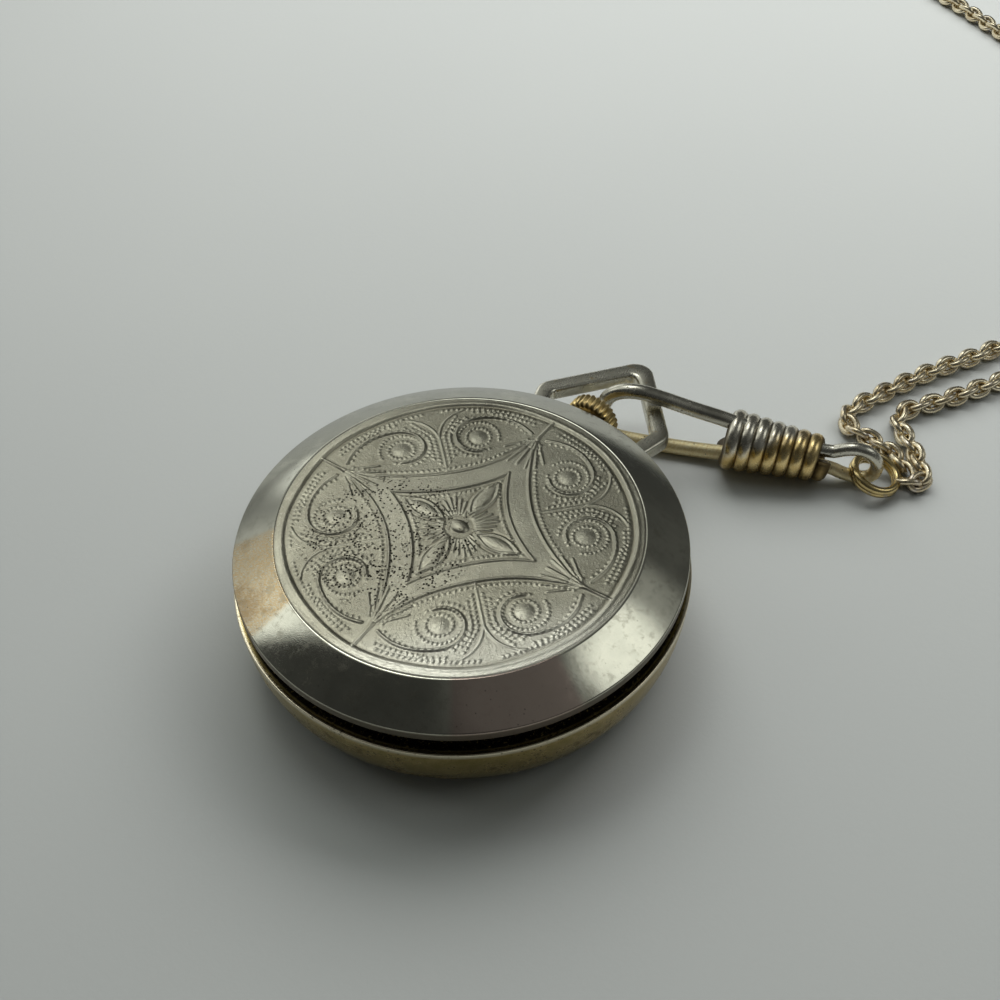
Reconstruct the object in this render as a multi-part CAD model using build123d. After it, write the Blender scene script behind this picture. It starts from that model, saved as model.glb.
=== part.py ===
from build123d import *
import os
from math import atan2, cos, degrees, hypot, pi, radians, sin, sqrt, tan

# Pendant watch, lying face down. Millimetres, +Z up.
# The origin is on the watch's axis where the crystal's flat top rests on the table.
# +Y points to 12 o'clock, where the crown and the bow are. The dial faces -Z.

os.makedirs("parts", exist_ok=True)

# Overruns and clearances
cut = 0.5  # how far a cutting tool runs past the face that it cuts
snug = 0.02  # radial play of pieces that are pressed or snapped together
peg_sides, boss_sides = 8, 12
run_fit = 0.03  # radial play of a pivot or a pipe that turns
free_gap = 0.15  # least gap between pieces that pass each other

# Case
case_r = 15.0
case_wall = 2.35
back_slope_run = 2.82
back_slope_drop = 1.63
back_wall_h = 0.7
back_t = 0.6
back_room = 0.31  # from the regulator to the inside of the back
skirt_h = 0.6
skirt_t = 0.4
groove_h = 1.25
groove_d = 0.65
groove_wall = 0.4
rim_out = 0.21
rim_h = 0.27
bezel_in = 0.25
bezel_mid_z = 3.4
lip_in = 1.7
lip_z = 1.3
snap_step_drop = 1.07
back_flat_r = case_r - back_slope_run
inner_r = case_r - case_wall

# Crystal and dial
crystal_flat_r = 6.0
crystal_edge_z = 1.35
crystal_t = 1.65
crystal_skirt_t = 0.9
dial_z = 2.75
dial_t = 0.3
dial_hole_r = 1.0

# Main plate, from the dial's back upwards
plate_t = 2.45
pocket_depth = 0.95  # dial-side pockets for the motion work
stem_rise = 1.95  # stem axis above the dial's back
barrel_floor = 1.1
pivot_r = 0.15
arbor_r = 0.22
pivot_hole_depth = 0.5
z_back = dial_z + dial_t
z_plate = z_back + plate_t
stem_z = z_back + stem_rise

# Heights above the plate's top
barrel_bridge_rise = 0.55
barrel_bridge_t = 1.15
train_bridge_rise = 1.45
train_bridge_t = 0.4
pallet_bridge_rise = 0.92
pallet_bridge_t = 0.2
cock_rise = 1.97
cock_t = 0.5
regulator_t = 0.12
centre_wheel_rise = 0.25
third_wheel_rise = 0.8
fourth_wheel_rise = 1.15
escape_wheel_rise = 0.6
balance_rise = 1.27
hairspring_rise = 1.7
wheel_t = 0.16
case_h = z_plate + cock_rise + cock_t + regulator_t + back_room + back_t

# Wheel train: tooth counts and modules
barrel_teeth, centre_pinion_teeth = 48, 8
barrel_module = 0.2
centre_teeth, third_pinion_teeth = 48, 6
centre_module = 0.175
third_teeth, fourth_pinion_teeth = 45, 6
third_module = 0.17
fourth_teeth, escape_pinion_teeth = 60, 6
fourth_module = 0.11
escape_teeth = 15
cannon_teeth, minute_teeth = 10, 30
minute_module = 0.13
minute_pinion_teeth, hour_teeth = 8, 32
hour_module = 0.13
setting_teeth = 20
winding_teeth, crown_wheel_teeth, ratchet_teeth = 14, 26, 35
winding_module = 0.2
clutch_teeth = 12
half_circle = 180  # degrees
addendum_share = 0.95
dedendum_share = 1.25
leaf_base_share = 0.62  # of the pitch that a pinion leaf takes at its root
window_share, window_root_share = 0.78, 0.42  # of the angle from one arm of a wheel to the next
hub_share = 1.5  # where a wheel's windows start, in hub radii

# Where the train stands, as directions from the centre of the watch
barrel_angle = 153.0
third_angle = 4.0
fourth_angle = -92.0  # seen from the third arbor
escape_angle = 210.0  # seen from the fourth arbor
balance_x, balance_y = -3.6, -6.1
minute_angle = 100.0
setting_angle = 78.5  # seen from the minute wheel
crown_wheel_y = 6.0

# Keyless work
stem_r = 0.45
stem_square = 0.5
stem_pivot_r = 0.3
stem_inner_y = 5.3
stem_square_y = 6.3
clutch_y, clutch_len, clutch_r = 6.5, 1.75, 1.1
clutch_bore = 0.74
clutch_travel = 0.2
clutch_groove_y, clutch_groove_w, clutch_groove_r = 7.2, 0.55, 0.75
winding_y, winding_len = 8.35, 1.35
stem_groove_y, stem_groove_w, stem_groove_r = 9.8, 0.6, 0.28
crown_travel = 0.6
lever_pivot_x, lever_pivot_y = -2.8, 10.4
lever_t, lever_w, lever_pin_r, lever_pin_x = 0.3, 0.7, 0.22, -0.55
yoke_pivot_x, yoke_pivot_y = -3.3, 8.1
yoke_t, yoke_w = 0.26, 0.36

# Crown, tube and bow
crown_r = 2.35
crown_bore_r = 1.3
crown_gap, crown_len = 1.0, 1.75
crown_y = case_r + crown_gap
crown_bore_len = 0.9
crown_knurls = 30
knurl_depth = 0.14
tube_r = 1.0
tube_len = crown_y - inner_r + snug / 2
gasket_t = 0.3
bow_top_z = 4.75
bow_t = 1.1
bow_w = 1.3
bow_foot_half, bow_foot_sink = 4.2, 2.0
bow_corner_half, bow_corner_out = 5.65, 3.3
bow_apex_out = 10.3
bow_foot_y = case_r - bow_foot_sink
bow_corner_y = case_r + bow_corner_out
bow_apex_y = case_r + bow_apex_out
bow_corner_round = 1.3
bow_edge = 0.28
bow_droop = 3.0  # degrees

# Clasp: a hairpin in an upright plane that starts at the bend and runs along clasp_angle
clasp_x, clasp_out, clasp_angle = -0.1, 4.75, 19.0
clasp_y = case_r + clasp_out
wire_r = 0.525
wire_sides, sleeve_sides = 8, 20
hairpin_over_bow = 1.25
hairpin_top_z = bow_top_z + hairpin_over_bow
hairpin_len = 5.52
table_gap = 0.02
sleeve_start, sleeve_len = 7.7, 9.2
sleeve_r_start, sleeve_r_end = 2.5, 2.0
sleeve_wall = 0.9
sleeve_ribs = 9
sleeve_rib_depth = 0.26
end_loop_len = 3.45
end_loop_h = 2.4
mouth_out = 0.35  # how far before the sleeve the strands bend
loop_mouth, loop_shoulder = 0.2, 1.4  # after the sleeve
round_share = 0.94  # of the half height that a hairpin bend takes
hairpin_dip = 0.25
jump_ring_r, jump_wire_r, jump_wire_sides = 1.7, 0.33, 6
ring_past_sleeve = 3.0
jump_at = sleeve_start + sleeve_len + ring_past_sleeve
jump_tilt = 18.7

# Chain
chain_d = 1.4
chain_side = 1.24  # side of a square with the area of the chain's round envelope
chain_arc_share = 0.49
coil_off_x, coil_off_y = -1.72, 75.77  # from the jump ring's centre
coil_first_r = 10.7
coil_pitch = 1.88
coil_halves_down, coil_halves_up, coil_steps = 6, 5, 12


def polar(r, angle, centre=(0.0, 0.0)):
    return (centre[0] + r * cos(radians(angle)), centre[1] + r * sin(radians(angle)))


def disc(r, z, h, centre=(0.0, 0.0)):
    return Pos(centre[0], centre[1], z + h / 2) * Cylinder(r, h)


def peg(r, z, h, centre=(0.0, 0.0), sides=peg_sides):
    """Small round pieces of the movement are prisms, to keep their facets few."""
    return slab([polar(r, 360 * i / sides, centre) for i in range(sides)], z, h)


def peg_hole(r, z, h, centre=(0.0, 0.0), sides=peg_sides):
    """Prism whose flats clear a circle of radius r."""
    return peg(r / cos(pi / sides), z, h, centre, sides)


def hoop(r_out, r_in, z, h, centre=(0.0, 0.0)):
    return disc(r_out, z, h, centre) - disc(r_in, z - cut, h + 2 * cut, centre)


def slab(points, z, h):
    return Pos(0, 0, z) * extrude(make_face(Polyline(*points, close=True)), amount=h)


def block(x0, x1, y0, y1, z0, z1):
    size = Box(x1 - x0, y1 - y0, z1 - z0)
    return Pos((x0 + x1) / 2, (y0 + y1) / 2, (z0 + z1) / 2) * size


def turned(profile):
    return revolve(make_face(Polyline(*[(r, 0, z) for r, z in profile], close=True)), Axis.Z)


def toothed(teeth, module, phase, base_share=1.0):
    """Outline of pointed teeth, with a tooth at the angle phase.

    Wheel teeth meet at their roots, pinion leaves don't.
    """
    pitch_r = teeth * module / 2
    tip, root = pitch_r + addendum_share * module, pitch_r - dedendum_share * module
    half = base_share * half_circle / teeth
    points = []
    for i in range(teeth):
        a = phase + 360 * i / teeth
        points += [polar(root, a - half), polar(tip, a)]
        if base_share < 1:
            points.append(polar(root, a + half))
    return points


def shifted(points, centre):
    return [(x + centre[0], y + centre[1]) for x, y in points]


def mesh_phase(teeth, phase, other_teeth, direction):
    """Phase that puts a gap of the other gear on the first gear's tooth.

    direction points from the first gear to the other.
    """
    off = (direction - phase) % (360 / teeth)
    return direction + half_circle + (off * teeth + half_circle) / other_teeth


def wheel(teeth, module, z, centre, phase, bore, rim_share=0.76, arms=4, t=wheel_t):
    """Flat wheel with pointed teeth, a bored hub and windows between its arms."""
    body = slab(shifted(toothed(teeth, module, phase), centre), z, t)
    pitch_r = teeth * module / 2
    hub, rim = bore + arbor_r * 2, pitch_r * rim_share
    half, inner_half = half_circle / arms * window_share, half_circle / arms * window_root_share
    for i in range(arms):
        a = phase + 360 * i / arms
        window = [polar(hub * hub_share, a - inner_half, centre), polar(rim, a - half, centre)]
        window += [polar(rim, a, centre), polar(rim, a + half, centre)]
        window.append(polar(hub * hub_share, a + inner_half, centre))
        body -= slab(window, z - cut, t + 2 * cut)
    return body - peg(bore, z - cut, t + 2 * cut, centre)


def arbor(centre, z0, z1, leaf_z, leaf_h, teeth, module, phase):
    """Steel arbor with a pivot at each end and a pinion cut on it."""
    body = peg(pivot_r, z0, z1 - z0, centre)
    body += peg(arbor_r, z0 + pivot_hole_depth, z1 - z0 - 2 * pivot_hole_depth, centre)
    leaves = toothed(teeth, module, phase, leaf_base_share)
    return body + slab(shifted(leaves, centre), leaf_z, leaf_h)


def faceted_turn(profile, sides):
    """Closed profile turned about Z in flat steps."""
    rings = [[(*polar(r, 360 * i / sides), z) for i in range(sides)] for r, z in profile]
    faces = []
    for one, two in zip(rings, rings[1:] + rings[:1]):
        for i in range(sides):
            j = (i + 1) % sides
            faces.append(make_face(Polyline(one[i], one[j], two[j], two[i], close=True)))
    return Solid(Shell(faces))


def save(name, shape):
    shape.label = name
    export_step(shape, f"parts/{name}.step")


# Case back: engraved flat, chamfer, short wall and a snap skirt
z_slope = case_h - back_slope_drop
z_wall = z_slope - back_wall_h
z_rim = z_wall - groove_h
band_r = case_r - groove_d
skirt_r = band_r - groove_wall - snug
slope_run = case_r - back_flat_r
inner_flat_r = back_flat_r - back_t * tan(atan2(back_slope_drop, slope_run) / 2)
skirt_in_r = skirt_r - skirt_t
skirt_top_z = case_h - back_t - (skirt_in_r - inner_flat_r) * back_slope_drop / slope_run
case_back = turned(
    [
        (0, case_h),
        (back_flat_r, case_h),
        (case_r, z_slope),
        (case_r, z_wall),
        (skirt_r, z_wall),
        (skirt_r, z_wall - skirt_h),
        (skirt_in_r, z_wall - skirt_h),
        (skirt_in_r, skirt_top_z),
        (inner_flat_r, case_h - back_t),
        (0, case_h - back_t),
    ]
)
save("case_back", case_back)

# Front case: bezel, rim and recessed band in one, open from the crystal to the back
rim_r = case_r + rim_out
lip_r = case_r - lip_in
snap_step_z = z_wall - snap_step_drop
case_outside = [(lip_r, lip_z), (case_r - bezel_in, bezel_mid_z), (rim_r, z_rim - rim_h), (rim_r, z_rim)]
case_outside += [(band_r, z_rim), (band_r, z_wall)]
case_inside = [(band_r - groove_wall, z_wall), (band_r - groove_wall, snap_step_z)]
case_inside += [(inner_r, snap_step_z), (inner_r, lip_z)]
tube_hole = Pos(0, crown_y - tube_len / 2, stem_z) * Rot(X=90) * Cylinder(tube_r, tube_len)
save("front_case", turned(case_outside + case_inside) - tube_hole)

# Crystal: pressed in, flat on top, with a skirt that reaches the dial
crystal_r = inner_r - snug
save(
    "crystal",
    turned(
        [
            (0, 0),
            (crystal_flat_r, 0),
            (crystal_r, crystal_edge_z),
            (crystal_r, dial_z),
            (crystal_r - crystal_skirt_t, dial_z),
            (crystal_r - crystal_skirt_t, crystal_t),
            (0, crystal_t),
        ]
    ),
)

# Dial
save("dial", hoop(crystal_r, dial_hole_r, dial_z, dial_t))

# Places of the arbors
barrel_at = polar(barrel_module * (barrel_teeth + centre_pinion_teeth) / 2, barrel_angle)
centre_at = (0.0, 0.0)
third_at = polar(centre_module * (centre_teeth + third_pinion_teeth) / 2, third_angle)
fourth_at = polar(third_module * (third_teeth + fourth_pinion_teeth) / 2, fourth_angle, third_at)
escape_at = polar(fourth_module * (fourth_teeth + escape_pinion_teeth) / 2, escape_angle, fourth_at)
balance_at = (balance_x, balance_y)
minute_at = polar(minute_module * (cannon_teeth + minute_teeth) / 2, minute_angle)
setting_at = polar(minute_module * (minute_teeth + setting_teeth) / 2, setting_angle, minute_at)
crown_wheel_at = (0.0, crown_wheel_y)

# Phases, so that each pair is in mesh at rest
barrel_phase = barrel_angle + 180
centre_pinion_phase = mesh_phase(barrel_teeth, barrel_phase, centre_pinion_teeth, barrel_angle + 180)
centre_phase = third_angle
third_pinion_phase = mesh_phase(centre_teeth, centre_phase, third_pinion_teeth, third_angle)
third_phase = fourth_angle
fourth_pinion_phase = mesh_phase(third_teeth, third_phase, fourth_pinion_teeth, fourth_angle)
fourth_phase = escape_angle
escape_pinion_phase = mesh_phase(fourth_teeth, fourth_phase, escape_pinion_teeth, escape_angle)
minute_phase = minute_angle + 180
cannon_phase = mesh_phase(minute_teeth, minute_phase, cannon_teeth, minute_angle + 180)
setting_phase = mesh_phase(minute_teeth, minute_phase, setting_teeth, setting_angle)
hour_phase = minute_angle
minute_pinion_phase = mesh_phase(hour_teeth, hour_phase, minute_pinion_teeth, minute_angle)
to_ratchet = degrees(atan2(barrel_at[1] - crown_wheel_y, barrel_at[0]))
crown_wheel_phase = to_ratchet
ratchet_phase = mesh_phase(crown_wheel_teeth, crown_wheel_phase, ratchet_teeth, to_ratchet)
crown_wheel_pitch = 360 / crown_wheel_teeth
off_gap = (90 - crown_wheel_phase) % crown_wheel_pitch - crown_wheel_pitch / 2
winding_phase = -90 + off_gap * crown_wheel_teeth / winding_teeth

# Pitch radii and the room that wheels need
third_r = third_module * third_teeth / 2
barrel_r = barrel_module * barrel_teeth / 2
barrel_tip_r = barrel_r + addendum_share * barrel_module
barrel_drum_r = barrel_r - dedendum_share * barrel_module
crown_wheel_r = winding_module * crown_wheel_teeth / 2
ratchet_r = winding_module * ratchet_teeth / 2
winding_tip_r = winding_module * (winding_teeth / 2 + addendum_share)

# Going barrel: toothed drum with a cover, a coiled spring and an arbor
barrel_z = z_back + barrel_floor + free_gap
barrel_h = z_plate + free_gap - barrel_z
drum_wall, drum_floor, cover_t, barrel_tooth_h = 0.35, 0.25, 0.2, 0.45
barrel_arbor_r, barrel_core_r, ratchet_post_r = 0.45, 0.9, 0.45
drum = disc(barrel_drum_r, barrel_z, barrel_h, barrel_at)
drum_teeth = shifted(toothed(barrel_teeth, barrel_module, barrel_phase), barrel_at)
drum += slab(drum_teeth, barrel_z, barrel_tooth_h)
drum -= disc(barrel_drum_r - drum_wall, barrel_z + drum_floor, barrel_h, barrel_at)
drum -= peg_hole(barrel_arbor_r + run_fit, barrel_z - cut, barrel_h, barrel_at)
save("barrel_drum", drum)
cover_r = barrel_drum_r - drum_wall - snug
cover_z = barrel_z + barrel_h - cover_t
cover = disc(cover_r, cover_z, cover_t, barrel_at)
cover -= peg_hole(barrel_arbor_r + run_fit, cover_z - cut, cover_t + 2 * cut, barrel_at)
save("barrel_cover", cover)
spring_z = barrel_z + drum_floor + free_gap / 2
spring_h = cover_z - free_gap / 2 - spring_z
spring_t, spring_turns, spring_steps = 0.14, 5, 9
spring_out = barrel_drum_r - drum_wall - spring_t
outline, inline = [], []
for i in range(spring_turns * spring_steps + 1):
    share = i / (spring_turns * spring_steps)
    r = barrel_core_r + spring_t + (spring_out - barrel_core_r - spring_t) * share
    angle = 360 * i / spring_steps
    outline.append(polar(r + spring_t / 2, angle, barrel_at))
    inline.append(polar(r - spring_t / 2, angle, barrel_at))
save("mainspring", slab(outline + inline[::-1], spring_z, spring_h))
ratchet_sink, ratchet_t = 0.75, 0.5
ratchet_z = z_plate + barrel_bridge_rise + barrel_bridge_t - ratchet_sink
arbor_z = barrel_z - pivot_hole_depth
barrel_arbor = peg(barrel_arbor_r, arbor_z, ratchet_z + ratchet_t - arbor_z, barrel_at)
barrel_arbor += peg(barrel_core_r, spring_z, spring_h, barrel_at)
save("barrel_arbor", barrel_arbor)

# Ratchet wheel, crown wheel, click and its spring, sunk in the barrel bridge
ratchet_at = barrel_at
ratchet_outline = shifted(toothed(ratchet_teeth, winding_module, ratchet_phase), ratchet_at)
ratchet = slab(ratchet_outline, ratchet_z, ratchet_t)
save("ratchet_wheel", ratchet - peg(barrel_arbor_r, ratchet_z - cut, ratchet_t + 2 * cut, ratchet_at))
screw_head_h, slot_w, slot_d = 0.3, 0.14, 0.12


def screw_head(r, z, centre):
    x, y = centre
    top = z + screw_head_h
    slot = block(x - r - cut, x + r + cut, y - slot_w / 2, y + slot_w / 2, top - slot_d, top + cut)
    return peg(r, z, screw_head_h, centre) - slot


ratchet_top = ratchet_z + ratchet_t
save("ratchet_screw", screw_head(ratchet_post_r * 2, ratchet_top, ratchet_at))
crown_core_r = 0.8
crown_wheel_outline = shifted(toothed(crown_wheel_teeth, winding_module, crown_wheel_phase), crown_wheel_at)
crown_wheel = slab(crown_wheel_outline, ratchet_z, ratchet_t)
crown_wheel -= peg_hole(crown_core_r + run_fit, ratchet_z - cut, ratchet_t + 2 * cut, crown_wheel_at)
save("crown_wheel", crown_wheel)

recess_gap = 0.06
recess_z = ratchet_z - recess_gap
ratchet_tip_r = ratchet_r + addendum_share * winding_module
click_angle, click_boss_r = 150.0, 0.55
click_pivot_r = 0.25
click_out, beak_gap, beak_w = 0.95, 0.08, 0.52
beak_angle, beak_lean, beak_root_angle = 22, 2, 150
click_off = ratchet_tip_r + click_out
click_at = polar(click_off, click_angle, ratchet_at)
beak = polar(ratchet_tip_r + beak_gap, click_angle + beak_angle, ratchet_at)
beak_back = polar(ratchet_tip_r + beak_gap + beak_w, click_angle + beak_angle + beak_lean, ratchet_at)
beak_root = [polar(click_boss_r, click_angle + a, click_at) for a in (beak_root_angle, 0)]
click = peg(click_boss_r, ratchet_z, ratchet_t, click_at)
click += slab([beak_root[0], beak, beak_back, beak_root[1]], ratchet_z, ratchet_t)
save("click", click - peg_hole(click_pivot_r + run_fit, ratchet_z - cut, ratchet_t + 2 * cut, click_at))
click_spring_t, click_spring_out, click_spring_steps = 0.14, 1.35, 5
spring_from, spring_span, click_spring_share = 20, 36, 0.7
spring_arc_r = ratchet_tip_r + click_spring_out
spring_step = spring_span / (click_spring_steps - 1)
spring_angles = [click_angle + spring_from + spring_step * i for i in range(click_spring_steps)]
spring_points = [polar(spring_arc_r, a, ratchet_at) for a in spring_angles]
spring_points += [polar(spring_arc_r + click_spring_t, a, ratchet_at) for a in spring_angles[::-1]]
save("click_spring", slab(spring_points, recess_z, ratchet_t * click_spring_share))

# Train wheels and their pinions
train_top = z_plate + train_bridge_rise + train_bridge_t * 0.75
train_low = z_plate - pivot_hole_depth
centre_z = z_plate + centre_wheel_rise
leaf_h = 0.42
leaf_gap, escape_leaf_drop = 0.04, 0.12
centre_arbor_r, cannon_r = 0.35, 0.5
cannon_tip_z = 1.7
save("centre_wheel", wheel(centre_teeth, centre_module, centre_z, centre_at, centre_phase, centre_arbor_r))
centre_pinion_leaves = toothed(centre_pinion_teeth, barrel_module, centre_pinion_phase, leaf_base_share)
centre_pinion = peg(centre_arbor_r, cannon_tip_z, centre_z + wheel_t - cannon_tip_z)
centre_pinion += slab(centre_pinion_leaves, barrel_z - free_gap / 3, barrel_tooth_h + free_gap / 2)
centre_pivot_top = z_plate + barrel_bridge_rise + pivot_hole_depth
centre_pinion += peg(pivot_r, centre_z, centre_pivot_top - centre_z)
save("centre_pinion", centre_pinion)

third_z = z_plate + third_wheel_rise
save("third_wheel", wheel(third_teeth, third_module, third_z, third_at, third_phase, arbor_r))
third_leaf_z = centre_z - (leaf_h - wheel_t) / 2
third_pinion = (third_leaf_z, leaf_h, third_pinion_teeth, centre_module, third_pinion_phase)
save("third_pinion", arbor(third_at, train_low, train_top, *third_pinion))
fourth_z = z_plate + fourth_wheel_rise
save("fourth_wheel", wheel(fourth_teeth, fourth_module, fourth_z, fourth_at, fourth_phase, arbor_r))
fourth_leaf_z = third_z - (leaf_h - wheel_t) / 3
fourth_leaf_h = fourth_z - fourth_leaf_z - leaf_gap
fourth_pinion = (fourth_leaf_z, fourth_leaf_h, fourth_pinion_teeth, third_module, fourth_pinion_phase)
save("fourth_pinion", arbor(fourth_at, train_low, train_top, *fourth_pinion))
escape_z = z_plate + escape_wheel_rise
escape_leaf_z = fourth_z - escape_leaf_drop
escape_pinion = (escape_leaf_z, leaf_h, escape_pinion_teeth, fourth_module, escape_pinion_phase)
save("escape_pinion", arbor(escape_at, train_low, train_top, *escape_pinion))

# Escape wheel with club teeth
escape_r, escape_root_r = 2.3, 1.75
club_lead, club_back, club_half, escape_arms = 9.0, 14.0, 2, 4
escape_hub_r, escape_rim_r, escape_crest_r = 0.65, 1.35, 1.42
escape_hub_half, escape_rim_half = 18, 32
club = []
for i in range(escape_teeth):
    a = escape_angle + 360 * i / escape_teeth
    club += [polar(escape_root_r, a - club_back, escape_at), polar(escape_r, a - club_half, escape_at)]
    club_foot = polar(escape_root_r, a - club_back + club_lead, escape_at)
    club += [polar(escape_r, a + club_half, escape_at), club_foot]
escape_wheel = slab(club, escape_z, wheel_t)
for i in range(escape_arms):
    a = escape_angle + 2 * half_circle * i / escape_arms
    window = [polar(escape_hub_r, a - escape_hub_half, escape_at)]
    window.append(polar(escape_rim_r, a - escape_rim_half, escape_at))
    window += [polar(escape_crest_r, a, escape_at), polar(escape_rim_r, a + escape_rim_half, escape_at)]
    window.append(polar(escape_hub_r, a + escape_hub_half, escape_at))
    escape_wheel -= slab(window, escape_z - cut, wheel_t + 2 * cut)
save("escape_wheel", escape_wheel - peg(arbor_r, escape_z - cut, wheel_t + 2 * cut, escape_at))

# Pallet fork on the line from the balance to the escape wheel
line_angle = degrees(atan2(escape_at[1] - balance_y, escape_at[0] - balance_x))
pallet_half, pallet_closeness = radians(30), 0.985
pallet_span = escape_r / cos(pallet_half) * pallet_closeness
pallet_at = polar(-pallet_span, line_angle, escape_at)
to_balance = hypot(pallet_at[0] - balance_x, pallet_at[1] - balance_y)
roller_pin_at = 0.85
fork_len = to_balance - roller_pin_at
fork_w, notch_w, notch_d, stone_off, stone_w = 0.3, 0.3, 0.35, 0.1, 0.34
horn_share = 1.3


def pallet_local(along, across):
    """A point by its distance towards the balance and to the left of that line."""
    u = (cos(radians(line_angle + 180)), sin(radians(line_angle + 180)))
    return (pallet_at[0] + along * u[0] - across * u[1], pallet_at[1] + along * u[1] + across * u[0])


stone_r = escape_r + stone_off
stone_x = -(pallet_span - stone_r * cos(pallet_half))
stone_y = stone_r * sin(pallet_half)
fork = peg(fork_w * horn_share, escape_z, wheel_t, pallet_at)
fork_bar = [pallet_local(0, fork_w / 2), pallet_local(0, -fork_w / 2)]
fork_bar += [pallet_local(fork_len, -fork_w / 2), pallet_local(fork_len, fork_w / 2)]
fork += slab(fork_bar, escape_z, wheel_t)
horn = [pallet_local(fork_len - notch_d, fork_w), pallet_local(fork_len + notch_d / 2, fork_w * horn_share)]
horn.append(pallet_local(fork_len + notch_d / 2, -fork_w * horn_share))
horn.append(pallet_local(fork_len - notch_d, -fork_w))
fork += slab(horn, escape_z, wheel_t)
notch = [pallet_local(fork_len, notch_w / 2), pallet_local(fork_len + notch_d, notch_w / 2)]
notch += [pallet_local(fork_len + notch_d, -notch_w / 2), pallet_local(fork_len, -notch_w / 2)]
fork -= slab(notch, escape_z - cut, wheel_t + 2 * cut)
stones = []
for side in (1, -1):
    out = side * (stone_y + stone_w)
    arm = [pallet_local(fork_w / 2, 0), pallet_local(-fork_w / 2, side * fork_w / 4)]
    arm += [pallet_local(stone_x + stone_w / 2, out), pallet_local(stone_x + stone_w * 1.6, out)]
    fork += slab(arm, escape_z, wheel_t)
    stone = [pallet_local(stone_x, side * stone_y), pallet_local(stone_x + stone_w / 2, side * stone_y)]
    stone += [pallet_local(stone_x + stone_w * 0.9, out), pallet_local(stone_x + stone_w / 4, out)]
    stones.append(slab(stone, escape_z, wheel_t))
for stone in stones:
    fork -= stone
pallet_top = z_plate + pallet_bridge_rise + pallet_bridge_t * 0.8
pivot_low = z_plate - pivot_hole_depth * 0.6
fork += peg(pivot_r, pivot_low, pallet_top - pivot_low, pallet_at)
save("pallet_fork", fork)
save("pallet_stones", Compound(children=stones))

# Balance: rim with two arms, staff with its roller, hairspring
balance_r, balance_rim_w, balance_t, balance_arm_w = 3.9, 0.45, 0.3, 0.4
balance_z = z_plate + balance_rise
staff_r = 0.25
balance = hoop(balance_r, balance_r - balance_rim_w, balance_z, balance_t, balance_at)
arm_reach = balance_r - balance_rim_w / 2
arm_y = (balance_y - balance_arm_w / 2, balance_y + balance_arm_w / 2)
balance += block(balance_x - arm_reach, balance_x + arm_reach, *arm_y, balance_z, balance_z + balance_t / 2)
balance += peg(staff_r * 2, balance_z, balance_t, balance_at)
save("balance_wheel", balance - peg(staff_r, balance_z - cut, balance_t + 2 * cut, balance_at))
cock_z = z_plate + cock_rise
staff_top = cock_z + cock_t * 0.6
staff = peg(pivot_r, pivot_low, staff_top - pivot_low, balance_at)
staff += peg(staff_r, z_plate + free_gap, cock_z - free_gap - z_plate - free_gap, balance_at)
roller_r, roller_t, roller_pin_r = 1.05, 0.12, 0.1
roller_z = escape_z + wheel_t + free_gap
staff += peg(roller_r, roller_z, roller_t, balance_at, boss_sides)
roller_pin_place = polar(roller_pin_at, line_angle, balance_at)
staff += peg(roller_pin_r, escape_z + wheel_t + run_fit, free_gap, roller_pin_place)
save("balance_staff", staff)
hairspring_z = z_plate + hairspring_rise
hairspring_h, hairspring_t = 0.14, 0.06
hairspring_out, hairspring_gap, hairspring_angle = 2.1, 0.12, 195
hairspring_in = staff_r + hairspring_gap
hairspring_turns, hairspring_steps = 5, 10
outline, inline = [], []
for i in range(hairspring_turns * hairspring_steps + 1):
    share = i / (hairspring_turns * hairspring_steps)
    r = hairspring_in + hairspring_t + (hairspring_out - hairspring_in) * share
    angle = hairspring_angle + 360 * i / hairspring_steps
    outline.append(polar(r + hairspring_t / 2, angle, balance_at))
    inline.append(polar(r - hairspring_t / 2, angle, balance_at))
stud_r = 0.16
stud_at = polar(hairspring_out + hairspring_t, hairspring_angle, balance_at)
hairspring = slab(outline + inline[::-1], hairspring_z, hairspring_h)
save("hairspring", hairspring + peg(stud_r, hairspring_z, cock_z - hairspring_z, stud_at))

# Motion work under the dial
hour_rise, hour_t = 0.1, 0.2
minute_rise, minute_t = 0.45, 0.25
cannon_leaf_rise = 0.38
hour_z, minute_z, cannon_leaf_z = z_back + hour_rise, z_back + minute_rise, z_back + cannon_leaf_rise
hour_pipe_in, hour_pipe_out = cannon_r + run_fit, 0.82
hour_pipe_tip = 2.2
cannon_leaves = toothed(cannon_teeth, minute_module, cannon_phase, leaf_base_share)
cannon = slab(cannon_leaves, cannon_leaf_z, leaf_h)
cannon += peg(cannon_r, cannon_tip_z, cannon_leaf_z - cannon_tip_z)
through = plate_t + dial_z  # longer than any hole of the motion work
save("cannon_pinion", cannon - peg(centre_arbor_r, cannon_tip_z - cut, through))
hour = slab(toothed(hour_teeth, hour_module, hour_phase), hour_z, hour_t)
hour += peg(hour_pipe_out, hour_pipe_tip, hour_z - hour_pipe_tip)
save("hour_wheel", hour - peg_hole(hour_pipe_in, hour_pipe_tip - cut, through))
minute = slab(shifted(toothed(minute_teeth, minute_module, minute_phase), minute_at), minute_z, minute_t)
minute_pinion = toothed(minute_pinion_teeth, hour_module, minute_pinion_phase, leaf_base_share)
minute += slab(shifted(minute_pinion, minute_at), hour_z - leaf_gap, minute_z - hour_z + leaf_gap)
motion_post_r = 0.2
save("minute_wheel", minute - peg_hole(motion_post_r + run_fit, z_back, through, minute_at))
setting_outline = shifted(toothed(setting_teeth, minute_module, setting_phase), setting_at)
setting = slab(setting_outline, minute_z, minute_t)
save("setting_wheel", setting - peg_hole(motion_post_r + run_fit, z_back, through, setting_at))

# Hands
hand_t, minute_hand_z, hour_hand_z = 0.14, 1.85, 2.25


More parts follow.
